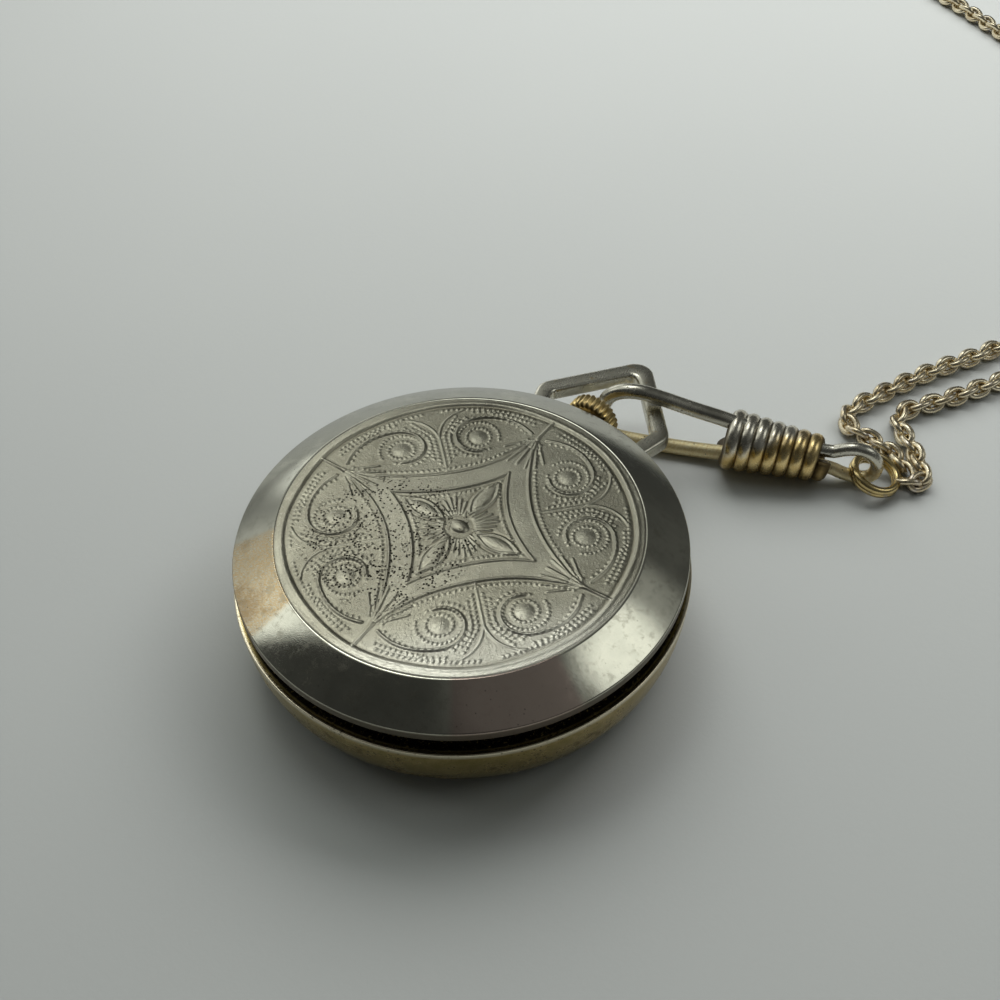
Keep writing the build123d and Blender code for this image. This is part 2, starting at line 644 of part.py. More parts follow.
def hand(length, tail, width, z, bore):
    """Leaf hand that points to 12 o'clock."""
    belly = length * 0.45
    left_side = [(0, -tail), (-width / 4, 0), (-width / 2, belly)]
    outline = [(0, length), (width / 2, belly), (width / 4, 0)] + left_side
    shape = slab(outline, z, hand_t) + peg(bore * hub_share, z, hand_t)
    return shape - peg(bore, z - cut, hand_t + 2 * cut)


minute_hand_len, minute_tail, minute_hand_w = 9.2, 1.6, 1.0
hour_hand_len, hour_tail, hour_hand_w = 6.2, 1.3, 1.2
save("minute_hand", hand(minute_hand_len, minute_tail, minute_hand_w, minute_hand_z, cannon_r))
save("hour_hand", hand(hour_hand_len, hour_tail, hour_hand_w, hour_hand_z, hour_pipe_out))

# Keyless work
square_len = winding_y - free_gap / 3 - stem_square_y
crown_cap_y = crown_y + crown_bore_len


def along_stem(shape, y):
    """Places a piece built on Z from 0 upwards so that it runs outwards along the stem from y."""
    return Pos(0, y, stem_z) * Rot(X=-90) * shape


stem = along_stem(peg(stem_pivot_r, 0, stem_square_y - stem_inner_y), stem_inner_y)
stem_mid_y = stem_square_y + square_len
half_square = stem_square / 2
square_z = (stem_z - half_square, stem_z + half_square)
stem += block(-half_square, half_square, stem_square_y, stem_mid_y, *square_z)
stem += along_stem(peg(stem_r, 0, stem_groove_y - stem_mid_y), stem_mid_y)
stem += along_stem(peg(stem_groove_r, 0, stem_groove_w), stem_groove_y)
stem_out_y = stem_groove_y + stem_groove_w
stem += along_stem(peg(stem_r, 0, crown_cap_y - stem_out_y), stem_out_y)
save("winding_stem", stem)
winding = slab(toothed(winding_teeth, winding_module, winding_phase, leaf_base_share), 0, winding_len)
winding -= peg_hole(stem_r + run_fit, -cut, winding_len + 2 * cut)
save("winding_pinion", along_stem(winding, winding_y))
clutch_module = clutch_r * 2 / (clutch_teeth + 2 * addendum_share)
clutch = slab(toothed(clutch_teeth, clutch_module, 0, leaf_base_share), 0, clutch_groove_y - clutch_y)
clutch += peg(clutch_groove_r, 0, clutch_len, sides=boss_sides)
collar_start = clutch_groove_y + clutch_groove_w - clutch_y
clutch += peg(clutch_r, collar_start, clutch_len - collar_start, sides=boss_sides)
half_bore = clutch_bore / 2
clutch -= block(-half_bore, half_bore, -half_bore, half_bore, -cut, clutch_len + cut)
save("sliding_pinion", along_stem(clutch, clutch_y))

lever_z = stem_z - clutch_r - lever_t
lever_pin_y = stem_groove_y + stem_groove_w / 2
lever_at = (lever_pivot_x, lever_pivot_y)
pin_at = (lever_pin_x, lever_pin_y)
lever = peg(lever_w, lever_z, lever_t, lever_at) + peg(lever_w * 0.55, lever_z, lever_t, pin_at)
lever_dir = degrees(atan2(pin_at[1] - lever_at[1], pin_at[0] - lever_at[0]))
half_w = lever_w * 0.4
lever_strip = [polar(half_w, lever_dir + 90, lever_at), polar(half_w, lever_dir - 90, lever_at)]
lever_strip += [polar(half_w, lever_dir - 90, pin_at), polar(half_w, lever_dir + 90, pin_at)]
lever += slab(lever_strip, lever_z, lever_t) + peg(lever_pin_r, lever_z, stem_z + stem_r - lever_z, pin_at)
lever_post_r = 0.3
save("setting_lever", lever - peg_hole(lever_post_r + run_fit, lever_z - cut, lever_t + 2 * cut, lever_at))
yoke_z = stem_z - clutch_groove_r - recess_gap - yoke_t
yoke_at = (yoke_pivot_x, yoke_pivot_y)
yoke_y = clutch_groove_y + clutch_groove_w / 2
yoke_boss_r = 0.56
yoke = peg(yoke_boss_r, yoke_z, yoke_t, yoke_at)
yoke_arm_y = (yoke_y - yoke_w / 2, yoke_y + yoke_w / 2)
yoke += block(yoke_pivot_x, clutch_groove_w, *yoke_arm_y, yoke_z, yoke_z + yoke_t)
save("yoke", yoke - peg_hole(lever_post_r + run_fit, yoke_z - cut, yoke_t + 2 * cut, yoke_at))

# Main plate with its recesses, slots and posts
plate_r = inner_r - snug
wheel_room = 0.3  # round the tips of a wheel in its pocket
lever_room, yoke_room, swing_room, head_room = 0.7, 0.5, 0.4, 0.1
plate = disc(plate_r, z_back, plate_t)
plate -= disc(barrel_tip_r + free_gap, barrel_z - free_gap, plate_t + cut, barrel_at)
plate -= disc(barrel_module * centre_pinion_teeth / 2 + centre_arbor_r, barrel_z - free_gap, plate_t + cut)
plate -= disc(hour_module * hour_teeth / 2 + wheel_room, z_back - cut, pocket_depth + cut)
plate -= disc(minute_module * minute_teeth / 2 + wheel_room, z_back - cut, pocket_depth + cut, minute_at)
plate -= disc(minute_module * setting_teeth / 2 + wheel_room, z_back - cut, pocket_depth + cut, setting_at)
plate -= peg_hole(centre_arbor_r + run_fit, z_back - cut, plate_t + 2 * cut)
plate -= peg_hole(barrel_arbor_r + run_fit, arbor_z - run_fit, plate_t, barrel_at)
for place in (third_at, fourth_at, escape_at, balance_at, pallet_at):
    plate -= peg_hole(pivot_r + run_fit, z_plate - pivot_hole_depth - run_fit, plate_t, place)
slot_half = winding_tip_r + free_gap / 2
slot_floor = stem_z - slot_half
slot_from, overlap = clutch_y - clutch_travel - free_gap, 0.05
plate -= block(-slot_half, slot_half, slot_from, stem_groove_y + overlap, slot_floor, z_plate + cut)
narrow_half = lever_w + free_gap
narrow_floor = stem_z - stem_r - free_gap
plate -= block(-narrow_half, narrow_half, stem_groove_y, plate_r + cut, narrow_floor, z_plate + cut)
pilot_len = stem_square_y + cut - stem_inner_y + free_gap
plate -= along_stem(peg_hole(stem_pivot_r + run_fit, 0, pilot_len), stem_inner_y - free_gap)
lever_top = lever_z + lever_t + free_gap / 2
plate -= peg_hole(lever_w + head_room, z_back - cut, lever_top - z_back + cut, lever_at)
lever_y = (lever_pin_y - lever_room, lever_pin_y + crown_travel + lever_room)
plate -= block(lever_pivot_x, narrow_half, *lever_y, z_back - cut, lever_top)
pin_x = (lever_pin_x - swing_room, lever_pin_x + swing_room)
pin_y = (lever_pin_y - swing_room, lever_pin_y + crown_travel + swing_room)
plate -= block(*pin_x, *pin_y, z_back, z_plate)
yoke_top = yoke_z + yoke_t + overlap
plate -= peg_hole(yoke_boss_r + head_room, z_back - cut, yoke_top - z_back + cut, yoke_at)
yoke_slot_y = (yoke_y - yoke_room, yoke_y + swing_room)
plate -= block(yoke_pivot_x, -slot_half + cut, *yoke_slot_y, z_back - cut, yoke_top)
posts = [(lever_at, lever_post_r), (yoke_at, lever_post_r)]
posts += [(minute_at, motion_post_r), (setting_at, motion_post_r)]
for place, r in posts:
    plate += peg(r, z_back + free_gap / 2, stem_z - stem_r - free_gap * 2 - z_back, place)

# Bridges stand on feet and are screwed down
foot_r, screw_r, screw_head_r = 0.9, 0.3, 0.55
edge_in = 0.9  # from the plate's edge to the bridges'
window_room = 0.35  # round a wheel that shows beside a bridge
barrel_feet = [(-10.2, -0.9), (-3.6, 9.75), (4.3, 9.0)]
train_feet = [(10.2, -1.6), (7.6, -7.9)]
cock_foot_at = (-9.4, -4.2)
pallet_foot_at = (-1.9, -8.4)
disc_room_r = plate_r - edge_in
edge = plate_r + cut
hub_half = 0.75


def bridge(points, z, t, feet):
    shape = slab(points, z, t) & disc(disc_room_r, z, t)
    for foot in feet:
        shape += peg(foot_r, z_plate, z + t - z_plate, foot, boss_sides)
    for foot in feet:
        shape -= peg(screw_r, z_plate - cut, t + z - z_plate + 2 * cut, foot)
    return shape


barrel_z0 = z_plate + barrel_bridge_rise
barrel_top = barrel_z0 + barrel_bridge_t
barrel_outline = [(-edge, -1.5), (-hub_half, -1.5), (hub_half, -hub_half), (hub_half, 1.7), (2.4, 4.6)]
barrel_outline += [(5.6, 5.2), (5.6, edge), (-edge, edge)]
barrel_bridge = bridge(barrel_outline, barrel_z0, barrel_bridge_t, barrel_feet)
barrel_bridge -= disc(third_r + window_room, barrel_z0 - cut, barrel_bridge_t + 2 * cut, third_at)
barrel_bridge -= disc(balance_r + wheel_room, barrel_z0 - cut, barrel_bridge_t + 2 * cut, balance_at)
barrel_bridge -= disc(ratchet_tip_r + free_gap, recess_z, barrel_bridge_t, ratchet_at)
crown_wheel_tip_r = crown_wheel_r + addendum_share * winding_module
barrel_bridge -= disc(crown_wheel_tip_r + free_gap, recess_z, barrel_bridge_t, crown_wheel_at)
click_room_r, click_room_end = spring_arc_r + click_spring_t + free_gap, spring_angles[-1] + 3
click_room = [ratchet_at] + [polar(click_room_r, a, ratchet_at) for a in [click_angle] + spring_angles]
click_room.append(polar(spring_arc_r, click_room_end, ratchet_at))
barrel_bridge -= slab(click_room, recess_z, barrel_bridge_t)
barrel_bridge -= disc(click_boss_r + free_gap, recess_z, barrel_bridge_t, click_at)
over_winding, over_clutch = stem_z + winding_tip_r + free_gap / 2, stem_z + clutch_r + free_gap / 2
barrel_bridge -= block(-slot_half, slot_half, winding_y - free_gap, edge, barrel_z0 - cut, over_winding)
barrel_bridge -= block(-slot_half, slot_half, clutch_y - free_gap * 2, edge, barrel_z0 - cut, over_clutch)
barrel_bridge -= peg_hole(barrel_arbor_r + run_fit, barrel_z0 - cut, barrel_bridge_t, barrel_at)
barrel_bridge -= peg_hole(pivot_r + run_fit, barrel_z0 - cut, cut + centre_pivot_top - barrel_z0 + run_fit)
barrel_bridge += peg(crown_core_r, recess_z - cut / 5, ratchet_top - recess_z + cut / 5, crown_wheel_at)
barrel_bridge += peg(click_pivot_r, recess_z - cut / 5, ratchet_top - recess_z, click_at)
save("barrel_bridge", barrel_bridge)

train_z0 = z_plate + train_bridge_rise
train_outline = [(3.7, 1.5), (5.9, 1.8), (edge, 0.9), (edge, -6.0), (8.6, -10.0), (5.2, -8.9)]
train_outline += [(0.8, -7.3), (0.6, -5.0), (3.0, -3.0)]
train_bridge = bridge(train_outline, train_z0, train_bridge_t, train_feet)
train_bridge -= disc(balance_r + wheel_room, train_z0 - cut, train_bridge_t + 2 * cut, balance_at)
jewel_r, jewel_t = 0.42, 0.3
jewels = []


def jewel(z, place):
    return peg(jewel_r, z, jewel_t, place) - peg_hole(pivot_r + run_fit, z - cut, jewel_t + 2 * cut, place)


for place in (third_at, fourth_at, escape_at):
    train_bridge -= peg(jewel_r, train_z0 - cut, train_bridge_t + 2 * cut, place)
    jewels.append(jewel(train_z0 + train_bridge_t - jewel_t, place))
save("train_bridge", train_bridge)

pallet_z0 = z_plate + pallet_bridge_rise
pallet_foot_r, pallet_end_r = 0.7, 0.5
pallet_outline = [(pallet_foot_at[0] + side * pallet_foot_r, pallet_foot_at[1]) for side in (-1, 1)]
pallet_outline += [polar(pallet_end_r, line_angle + turn, pallet_at) for turn in (0, 90)]
pallet_bridge = slab(pallet_outline, pallet_z0, pallet_bridge_t)
pallet_bridge += peg(pallet_foot_r, z_plate, pallet_z0 + pallet_bridge_t - z_plate, pallet_foot_at)
pallet_bridge -= peg(screw_r, z_plate - cut, pallet_top - z_plate + 2 * cut, pallet_foot_at)
pallet_screw_z = pallet_z0 + pallet_bridge_t - screw_head_h  # flush, because the balance passes over it
pallet_bridge -= peg(screw_head_r + snug, pallet_screw_z, screw_head_h + cut, pallet_foot_at)
pallet_bridge -= peg_hole(pivot_r + run_fit, pallet_z0 - cut, pallet_bridge_t + 2 * cut, pallet_at)
save("pallet_bridge", pallet_bridge)

cock_dir = degrees(atan2(cock_foot_at[1] - balance_y, cock_foot_at[0] - balance_x))
cock_foot_r, cock_neck_half, cock_boss_r, cock_out = 1.5, 0.75, 1.1, 0.4
cock_top = cock_z + cock_t
cock_points = [polar(cock_foot_r, cock_dir + turn, cock_foot_at) for turn in (90, -90)]
cock_points += [polar(cock_neck_half, cock_dir + turn, balance_at) for turn in (-90, 90)]
cock = slab(cock_points, cock_z, cock_t) + peg(cock_boss_r, cock_z, cock_t, balance_at, boss_sides)
cock += peg(cock_foot_r, z_plate, cock_top - z_plate, cock_foot_at, boss_sides)
cock = cock & disc(disc_room_r + cock_out, z_plate, cock_top)
cock -= peg(screw_r, z_plate - cut, cock_top - z_plate + 2 * cut, cock_foot_at)
cock -= peg(jewel_r, cock_z - cut, cock_t + 2 * cut, balance_at)
jewels.append(jewel(cock_top - jewel_t - run_fit, balance_at))
save("balance_cock", cock)
save("jewels", Compound(children=jewels))
regulator_z = cock_top
regulator_len, regulator_w, regulator_boss_r, regulator_off = 2.6, 0.35, 0.85, 28
regulator_dir = cock_dir + regulator_off
regulator_tip = polar(regulator_len, regulator_dir, balance_at)
pointer = [polar(regulator_w, regulator_dir - 90, balance_at)]
pointer += [polar(regulator_w / 3, regulator_dir + turn, regulator_tip) for turn in (-90, 90)]
pointer.append(polar(regulator_w, regulator_dir + 90, balance_at))
regulator = peg(regulator_boss_r, regulator_z, regulator_t, balance_at)
regulator += slab(pointer, regulator_z, regulator_t)
regulator -= peg_hole(jewel_r + run_fit, regulator_z - cut, regulator_t + 2 * cut, balance_at)
save("regulator", regulator)

# Screws of the bridges, as one group
screws = []
screw_depth = 1.0
tops = [(f, barrel_top) for f in barrel_feet] + [(f, train_z0 + train_bridge_t) for f in train_feet]
tops += [(cock_foot_at, cock_top), (pallet_foot_at, pallet_screw_z)]
for place, top in tops:
    shank = peg(screw_r, z_plate - screw_depth, top - z_plate + screw_depth, place)
    screws.append(screw_head(screw_head_r, top, place) + shank)
    plate -= peg(screw_r, z_plate - screw_depth, screw_depth + cut, place)
crown_screw_r = 1.08
screws.append(screw_head(crown_screw_r, ratchet_top, crown_wheel_at))
save("bridge_screws", Compound(children=screws))
save("main_plate", plate)

# Crown with a knurled rim, its gasket and the pendant tube
ring = []
for i in range(crown_knurls):
    ring.append(polar(crown_r, 360 * i / crown_knurls))
    ring.append(polar(crown_r - knurl_depth, 360 * (i + 0.5) / crown_knurls))
crown = slab(ring, 0, crown_len)
crown -= disc(crown_bore_r, -cut, crown_bore_len + cut)
save("crown", along_stem(crown, crown_y))
gasket = peg(crown_bore_r, 0, gasket_t, sides=2 * peg_sides)
gasket -= peg_hole(tube_r + snug, -cut, gasket_t + 2 * cut, sides=2 * peg_sides)
save("crown_gasket", along_stem(gasket, crown_y + crown_bore_len - gasket_t))
pendant_tube = disc(tube_r, 0, tube_len) - peg_hole(stem_r + run_fit, -cut, tube_len + 2 * cut)
save("pendant_tube", along_stem(pendant_tube, crown_y - tube_len))

# Bow: a flat five-sided loop brazed to the case
bow_points = [(-bow_foot_half, bow_foot_y), (-bow_corner_half, bow_corner_y), (0, bow_apex_y)]
bow_points += [(bow_corner_half, bow_corner_y), (bow_foot_half, bow_foot_y)]
bow_face = make_face(Polyline(*bow_points, close=True))
bow_inner = offset(bow_face, amount=-bow_w)
bow_face = fillet(bow_face.vertices().sort_by(Axis.Y)[2:], bow_corner_round)
bow_inner = fillet(bow_inner.vertices().sort_by(Axis.Y)[2:], bow_corner_round / 2)
bow = extrude(bow_face - bow_inner, amount=-bow_t)
bow = chamfer(bow.faces().filter_by(Axis.Z).edges(), bow_edge)
bow = Pos(0, bow_corner_y, bow_top_z) * Rot(X=-bow_droop) * Pos(0, -bow_corner_y, 0) * bow
case_envelope = turned([(0, lip_z)] + case_outside + [(0, z_wall)])
save("bow", bow - case_envelope)

# Clasp: hairpin and end loop of one wire, wound with a ribbed sleeve
clasp_dir = (cos(radians(clasp_angle)), sin(radians(clasp_angle)))


def clasp_point(along, z):
    return (clasp_x + along * clasp_dir[0], clasp_y + along * clasp_dir[1], z)


def swept_round(points, radii, r):
    path = FilletPolyline(*points, radius=radii)
    start = Plane(origin=path @ 0, x_dir=(clasp_dir[1], -clasp_dir[0], 0), z_dir=path % 0)
    return sweep(start * RegularPolygon(r, wire_sides, rotation=180 / wire_sides), path=path)


low_z = wire_r + table_gap
sleeve_end = sleeve_start + sleeve_len
sleeve_mid = (sleeve_start + sleeve_end) / 2
in_start = sleeve_r_start - sleeve_wall - wire_r - snug
in_end = sleeve_r_end - sleeve_wall - wire_r - snug
axis_mid, in_mid = (sleeve_r_start + sleeve_r_end) / 2, (in_start + in_end) / 2
hairpin_r = (hairpin_top_z - low_z) / 2
mouth = sleeve_start - mouth_out
inside_low = clasp_point(sleeve_mid, axis_mid - in_mid)
inside_top = clasp_point(sleeve_mid, axis_mid + in_mid)
hairpin = [inside_low, clasp_point(mouth, sleeve_r_start - in_start), clasp_point(hairpin_len, low_z)]
hairpin += [clasp_point(wire_r, low_z), clasp_point(wire_r, hairpin_top_z)]
hairpin.append(clasp_point(hairpin_len, hairpin_top_z - hairpin_dip))
hairpin += [clasp_point(mouth, sleeve_r_start + in_start), inside_top]
bend_r = hairpin_r * round_share
clasp = swept_round(hairpin, [wire_r * 2, wire_r * 2, bend_r, bend_r, wire_r * 2, wire_r * 2], wire_r)
loop_r = end_loop_h / 2 * round_share
loop_top = low_z + end_loop_h
loop_tip = sleeve_end + end_loop_len - wire_r
loop_in, shoulder = sleeve_end + loop_mouth, sleeve_end + loop_shoulder
end_loop = [inside_low, clasp_point(loop_in, sleeve_r_end - in_end), clasp_point(shoulder, low_z)]
end_loop += [clasp_point(loop_tip, low_z), clasp_point(loop_tip, loop_top), clasp_point(shoulder, loop_top)]
end_loop += [clasp_point(loop_in, sleeve_r_end + in_end), inside_top]
clasp += swept_round(end_loop, [wire_r * 2, wire_r * 1.4, loop_r, loop_r, wire_r * 1.4, wire_r * 2], wire_r)
save("clasp_wire", clasp)
rib = sleeve_len / sleeve_ribs
bore_share = 1 / cos(pi / sleeve_sides)
bore_start = (sleeve_r_start - sleeve_wall) * bore_share
bore_end = (sleeve_r_end - sleeve_wall) * bore_share
sleeve_profile = [(bore_end, sleeve_len), (bore_start, 0)]
for i in range(sleeve_ribs):
    here = sleeve_r_start + (sleeve_r_end - sleeve_r_start) * i / sleeve_ribs
    sleeve_profile += [(here - sleeve_rib_depth, i * rib), (here, (i + 0.5) * rib)]
sleeve_profile.append((sleeve_r_end - sleeve_rib_depth, sleeve_len))
sleeve_tilt = degrees(atan2(sleeve_r_start - sleeve_r_end, sleeve_len))
sleeve = Rot(Y=90 + sleeve_tilt) * faceted_turn(sleeve_profile, sleeve_sides)
save("clasp_sleeve", Pos(*clasp_point(sleeve_start, sleeve_r_start)) * Rot(Z=clasp_angle) * sleeve)
jump_z = low_z + wire_r
jump_section = Pos(jump_ring_r, 0, 0) * Rot(X=90) * RegularPolygon(jump_wire_r, jump_wire_sides)
jump_ring = revolve(jump_section, Axis.Z)
save("jump_ring", Pos(*clasp_point(jump_at, jump_z)) * Rot(Z=clasp_angle) * Rot(Y=jump_tilt) * jump_ring)

# Chain: the envelope of the fine links, from the jump ring out, round and back.
# Its places are measured from the jump ring's centre.
chain_z = chain_side / 2
ring_x, ring_y, _ = clasp_point(jump_at, jump_z)
coil_x, coil_y = ring_x + coil_off_x, ring_y + coil_off_y
run_a_places = [(1.28, 2.12), (0.18, 3.47), (-5.42, 3.97), (-2.82, 9.77), (-0.72, 13.87), (2.18, 18.07)]
run_a_places += [(4.88, 24.27), (5.28, 34.27), (1.88, 46.27), (-3.92, 56.27), (-10.32, 63.97)]
run_a_places.append((-13.72, 65.77))
corner_places = [(-13.72, 65.77), (-15.82, 66.87), (-18.92, 68.67), (-26.32, 72.37), (-27.52, 76.37)]
corner_places += [(-24.12, 81.97), (-17.12, 85.87), (-9.21, 86.47), (-1.72, 86.47)]
run_b_places = [(9.88, 65.77), (9.58, 53.77), (10.18, 39.77), (8.88, 26.77), (5.88, 17.97), (3.08, 13.57)]
run_b_places += [(0.98, 10.37), (-1.92, 6.97), (1.88, 3.97), (3.28, 1.47)]


def cord(name, points):
    """Tube along straight runs joined by the largest arcs that they allow. Prints its radii."""
    radii = []
    for a, b, c in zip(points, points[1:], points[2:]):
        one, two = Vector(b) - Vector(a), Vector(c) - Vector(b)
        turn = radians(one.get_angle(two))
        radii.append(chain_arc_share * min(one.length, two.length) / tan(turn / 2))
    path = FilletPolyline(*points, radius=radii)
    print(name, "length", round(path.length, 1), "radii", [round(r, 1) for r in radii])
    return path


def tube_along(path):
    start = Plane(origin=path @ 0, x_dir=(0, 0, 1), z_dir=path % 0)
    return sweep(start * Rectangle(chain_side, chain_side), path=path)


def on_table(places):
    return [(ring_x + x, ring_y + y, chain_z) for x, y in places]


save("chain_run_a", tube_along(cord("chain_run_a", on_table(run_a_places))))
save("chain_corner", tube_along(cord("chain_corner", on_table(corner_places))))

# Put-away coil: half turns inwards on the table, one that climbs, then outwards on top
step = coil_pitch / 2
radii = [coil_first_r - step * i for i in range(coil_halves_down)]
climb_r = radii[-1] - step
radii_up = [climb_r + step * (i + 1) for i in range(coil_halves_up)]
arcs, here, side, z = [], coil_y + coil_first_r, 1, chain_z
coil_length = 0.0
coil_top = chain_z + coil_pitch
for i, r in enumerate(radii + [climb_r] + radii_up):
    there = here - side * 2 * r
    z_next = coil_top if i >= coil_halves_down else chain_z
    if i == coil_halves_down:
        there = here - side * 2 * sqrt(r * r - (coil_pitch / 2) ** 2)
    middle = (coil_x + side * r, (here + there) / 2, (z + z_next) / 2)
    arcs.append(ThreePointArc((coil_x, here, z), middle, (coil_x, there, z_next)))
    coil_length += pi * r
    here, side, z = there, -side, z_next
last_r = radii_up[-1] + step
coil_end_x, coil_end_y = coil_x + last_r, here - last_r
quarter_mid = (coil_x + last_r * sin(pi / 4), coil_end_y + last_r * cos(pi / 4), z)
arcs.append(ThreePointArc((coil_x, here, z), quarter_mid, (coil_end_x, coil_end_y, z)))
coil_length += pi / 2 * last_r
samples = [arc.position_at(k / coil_steps) for arc in arcs for k in range(coil_steps)]
gaps = [(p - q).length for i, p in enumerate(samples) for q in samples[i + coil_steps :]]
print("chain_coil length", round(coil_length, 1), "least gap", round(min(gaps) - chain_d, 2))
save("chain_coil", tube_along(Wire(arcs)))

# The way back starts on top of the coil and comes down to the table
drop = (chain_z - coil_top) / 6
run_b = [(coil_end_x, coil_end_y, coil_top), (coil_end_x, coil_end_y - chain_d * 2, coil_top)]
run_b += [(coil_end_x + chain_d / 5, ring_y + run_b_places[0][1], chain_z - drop)]
run_b += on_table(run_b_places[1:])
save("chain_run_b", tube_along(cord("chain_run_b", run_b)))
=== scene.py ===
from math import atan2, cos, hypot, pi, radians, sin, tan

import bpy
import numpy as np
from mathutils import Matrix, Vector


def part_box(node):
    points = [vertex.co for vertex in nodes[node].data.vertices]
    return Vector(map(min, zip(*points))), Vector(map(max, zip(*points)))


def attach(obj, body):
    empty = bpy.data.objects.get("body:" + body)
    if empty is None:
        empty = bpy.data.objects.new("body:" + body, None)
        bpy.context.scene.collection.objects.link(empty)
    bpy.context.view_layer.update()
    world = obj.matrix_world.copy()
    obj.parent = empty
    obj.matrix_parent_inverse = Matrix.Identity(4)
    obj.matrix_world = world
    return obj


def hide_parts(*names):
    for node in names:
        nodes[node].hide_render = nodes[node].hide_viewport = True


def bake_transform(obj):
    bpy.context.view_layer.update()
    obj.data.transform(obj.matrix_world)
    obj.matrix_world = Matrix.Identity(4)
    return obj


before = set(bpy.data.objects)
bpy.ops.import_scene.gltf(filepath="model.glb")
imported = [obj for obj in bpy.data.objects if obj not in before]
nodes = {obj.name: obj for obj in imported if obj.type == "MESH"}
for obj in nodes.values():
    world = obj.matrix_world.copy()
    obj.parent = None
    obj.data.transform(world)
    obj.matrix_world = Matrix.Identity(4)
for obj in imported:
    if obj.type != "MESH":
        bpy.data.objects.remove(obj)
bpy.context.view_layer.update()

# Camera: a close-up taken by hand from above, on the side away from the crown, about 93 mm from
# the back.
lens = bpy.data.cameras.new("close_up")
lens.lens, lens.sensor_width, lens.clip_start = 51.27, 36.0, 0.005
eye = bpy.data.objects.new("close_up", lens)
to_right, upwards = Vector((0.83084, 0.55581, -0.02822)), Vector((-0.39140, 0.61961, 0.68036))
to_eye = Vector((0.39564, -0.55422, 0.73234))
turn = Matrix((to_right, upwards, to_eye)).transposed()
eye.matrix_world = Matrix.Translation((0.038077, -0.048737, 0.077725)) @ turn.to_4x4()
bpy.context.scene.collection.objects.link(eye)
bpy.context.scene.camera = eye
bpy.context.scene.view_settings.view_transform = "Standard"


# Chain: fine oval links of round wire, each twisted a little and turned a quarter against the next.
# Gold-plated brass, drawn, cut and soldered shut. Both ends hang on the thin jump ring, and what
# the photograph doesn't show lies in a neat coil.
mm = 0.001


class Tone:
    """A number, place or colour in a finish's nodes. Sums and products of tones add their nodes."""

    def __init__(self, socket):
        self.socket = socket

    def node(self, kind, settings=(), values=(), out=0):
        """Any node of this tree: its settings are set first, then the values or links of its sockets."""
        tree = self.socket.id_data
        made = tree.nodes.new("ShaderNode" + kind)
        for name, value in dict(settings).items():
            setattr(made, name, value)
        for name, value in dict(values).items():
            if isinstance(value, Tone):
                tree.links.new(value.socket, made.inputs[name])
            else:
                made.inputs[name].default_value = value
        return Tone(made.outputs[out])

    def maths(self, operation, one, two=0.0):
        if self.socket.type == "VECTOR":
            sides = [side if isinstance(side, Tone) else (side, side, side) for side in (one, two)]
            return self.node("VectorMath", {"operation": operation}, {0: sides[0], 1: sides[1]})
        return self.node("Math", {"operation": operation}, {0: one, 1: two})

    def __add__(self, other):
        return self.maths("ADD", self, other)

    __radd__ = __add__

    def __sub__(self, other):
        return self.maths("SUBTRACT", self, other)

    def __rsub__(self, other):
        return self.maths("SUBTRACT", other, self)

    def __mul__(self, other):
        return self.maths("MULTIPLY", self, other)

    def __pow__(self, other):
        return self.maths("POWER", self, other)

    def rise(self, low, high):
        """0 up to low and 1 from high on, with a smooth way between. Falls where low is above high."""
        span = {"Value": self, "From Min": low, "From Max": high}
        return self.node("MapRange", {"interpolation_type": "SMOOTHSTEP"}, span)

    def between(self, one, two):
        """The colour one where this is 0, and two where it is 1."""
        ends = [side if isinstance(side, Tone) else (*side, 1) for side in (one, two)]
        return self.node("Mix", {"data_type": "RGBA"}, {0: self, 6: ends[0], 7: ends[1]}, 2)

    def parts(self):
        return [self.node("SeparateXYZ", {}, {0: self}, i) for i in range(3)]

    def grain(self, fineness, detail=2.0, roughness=0.5, drawn=(1, 1, 1)):
        """Noise of so many grains a millimetre, drawn out along the directions with small numbers."""
        where = self.node("VectorMath", {"operation": "MULTIPLY"}, {0: self, 1: drawn})
        values = {"Vector": where, "Scale": fineness, "Detail": detail, "Roughness": roughness}
        return self.node("TexNoise", {}, values)

    def specks(self, fineness, size):
        """1 in small round specks of that size, so many a millimetre, and 0 between them."""
        cells = self.node("TexVoronoi", {}, {"Vector": self, "Scale": fineness})
        return cells.rise(size, size * 0.55)


class Finish:
    """A material with its shader, and the place on the piece in millimetres."""

    def __init__(self, name, **constants):
        self.material = bpy.data.materials.new(name)
        self.material.use_nodes = True
        self.tree = self.material.node_tree
        self.tree.nodes.clear()
        out = self.tree.nodes.new("ShaderNodeOutputMaterial")
        self.shader = self.tree.nodes.new("ShaderNodeBsdfPrincipled")
        self.tree.links.new(self.shader.outputs[0], out.inputs[0])
        for socket, value in constants.items():
            self.shader.inputs[socket.replace("_", " ")].default_value = value
        self.place = Tone(self.tree.nodes.new("ShaderNodeTexCoord").outputs["Object"]) * 1000.0

    def surface(self, colour, roughness, height, depth):
        """Colour, gloss and a relief of so many millimetres that change over the surface."""
        bump = height.node("Bump", {}, {"Height": height, "Strength": 1.0, "Distance": depth * mm})
        for socket, tone in (("Base Color", colour), ("Roughness", roughness), ("Normal", bump)):
            self.tree.links.new(tone.socket, self.shader.inputs[socket])
        return self.material


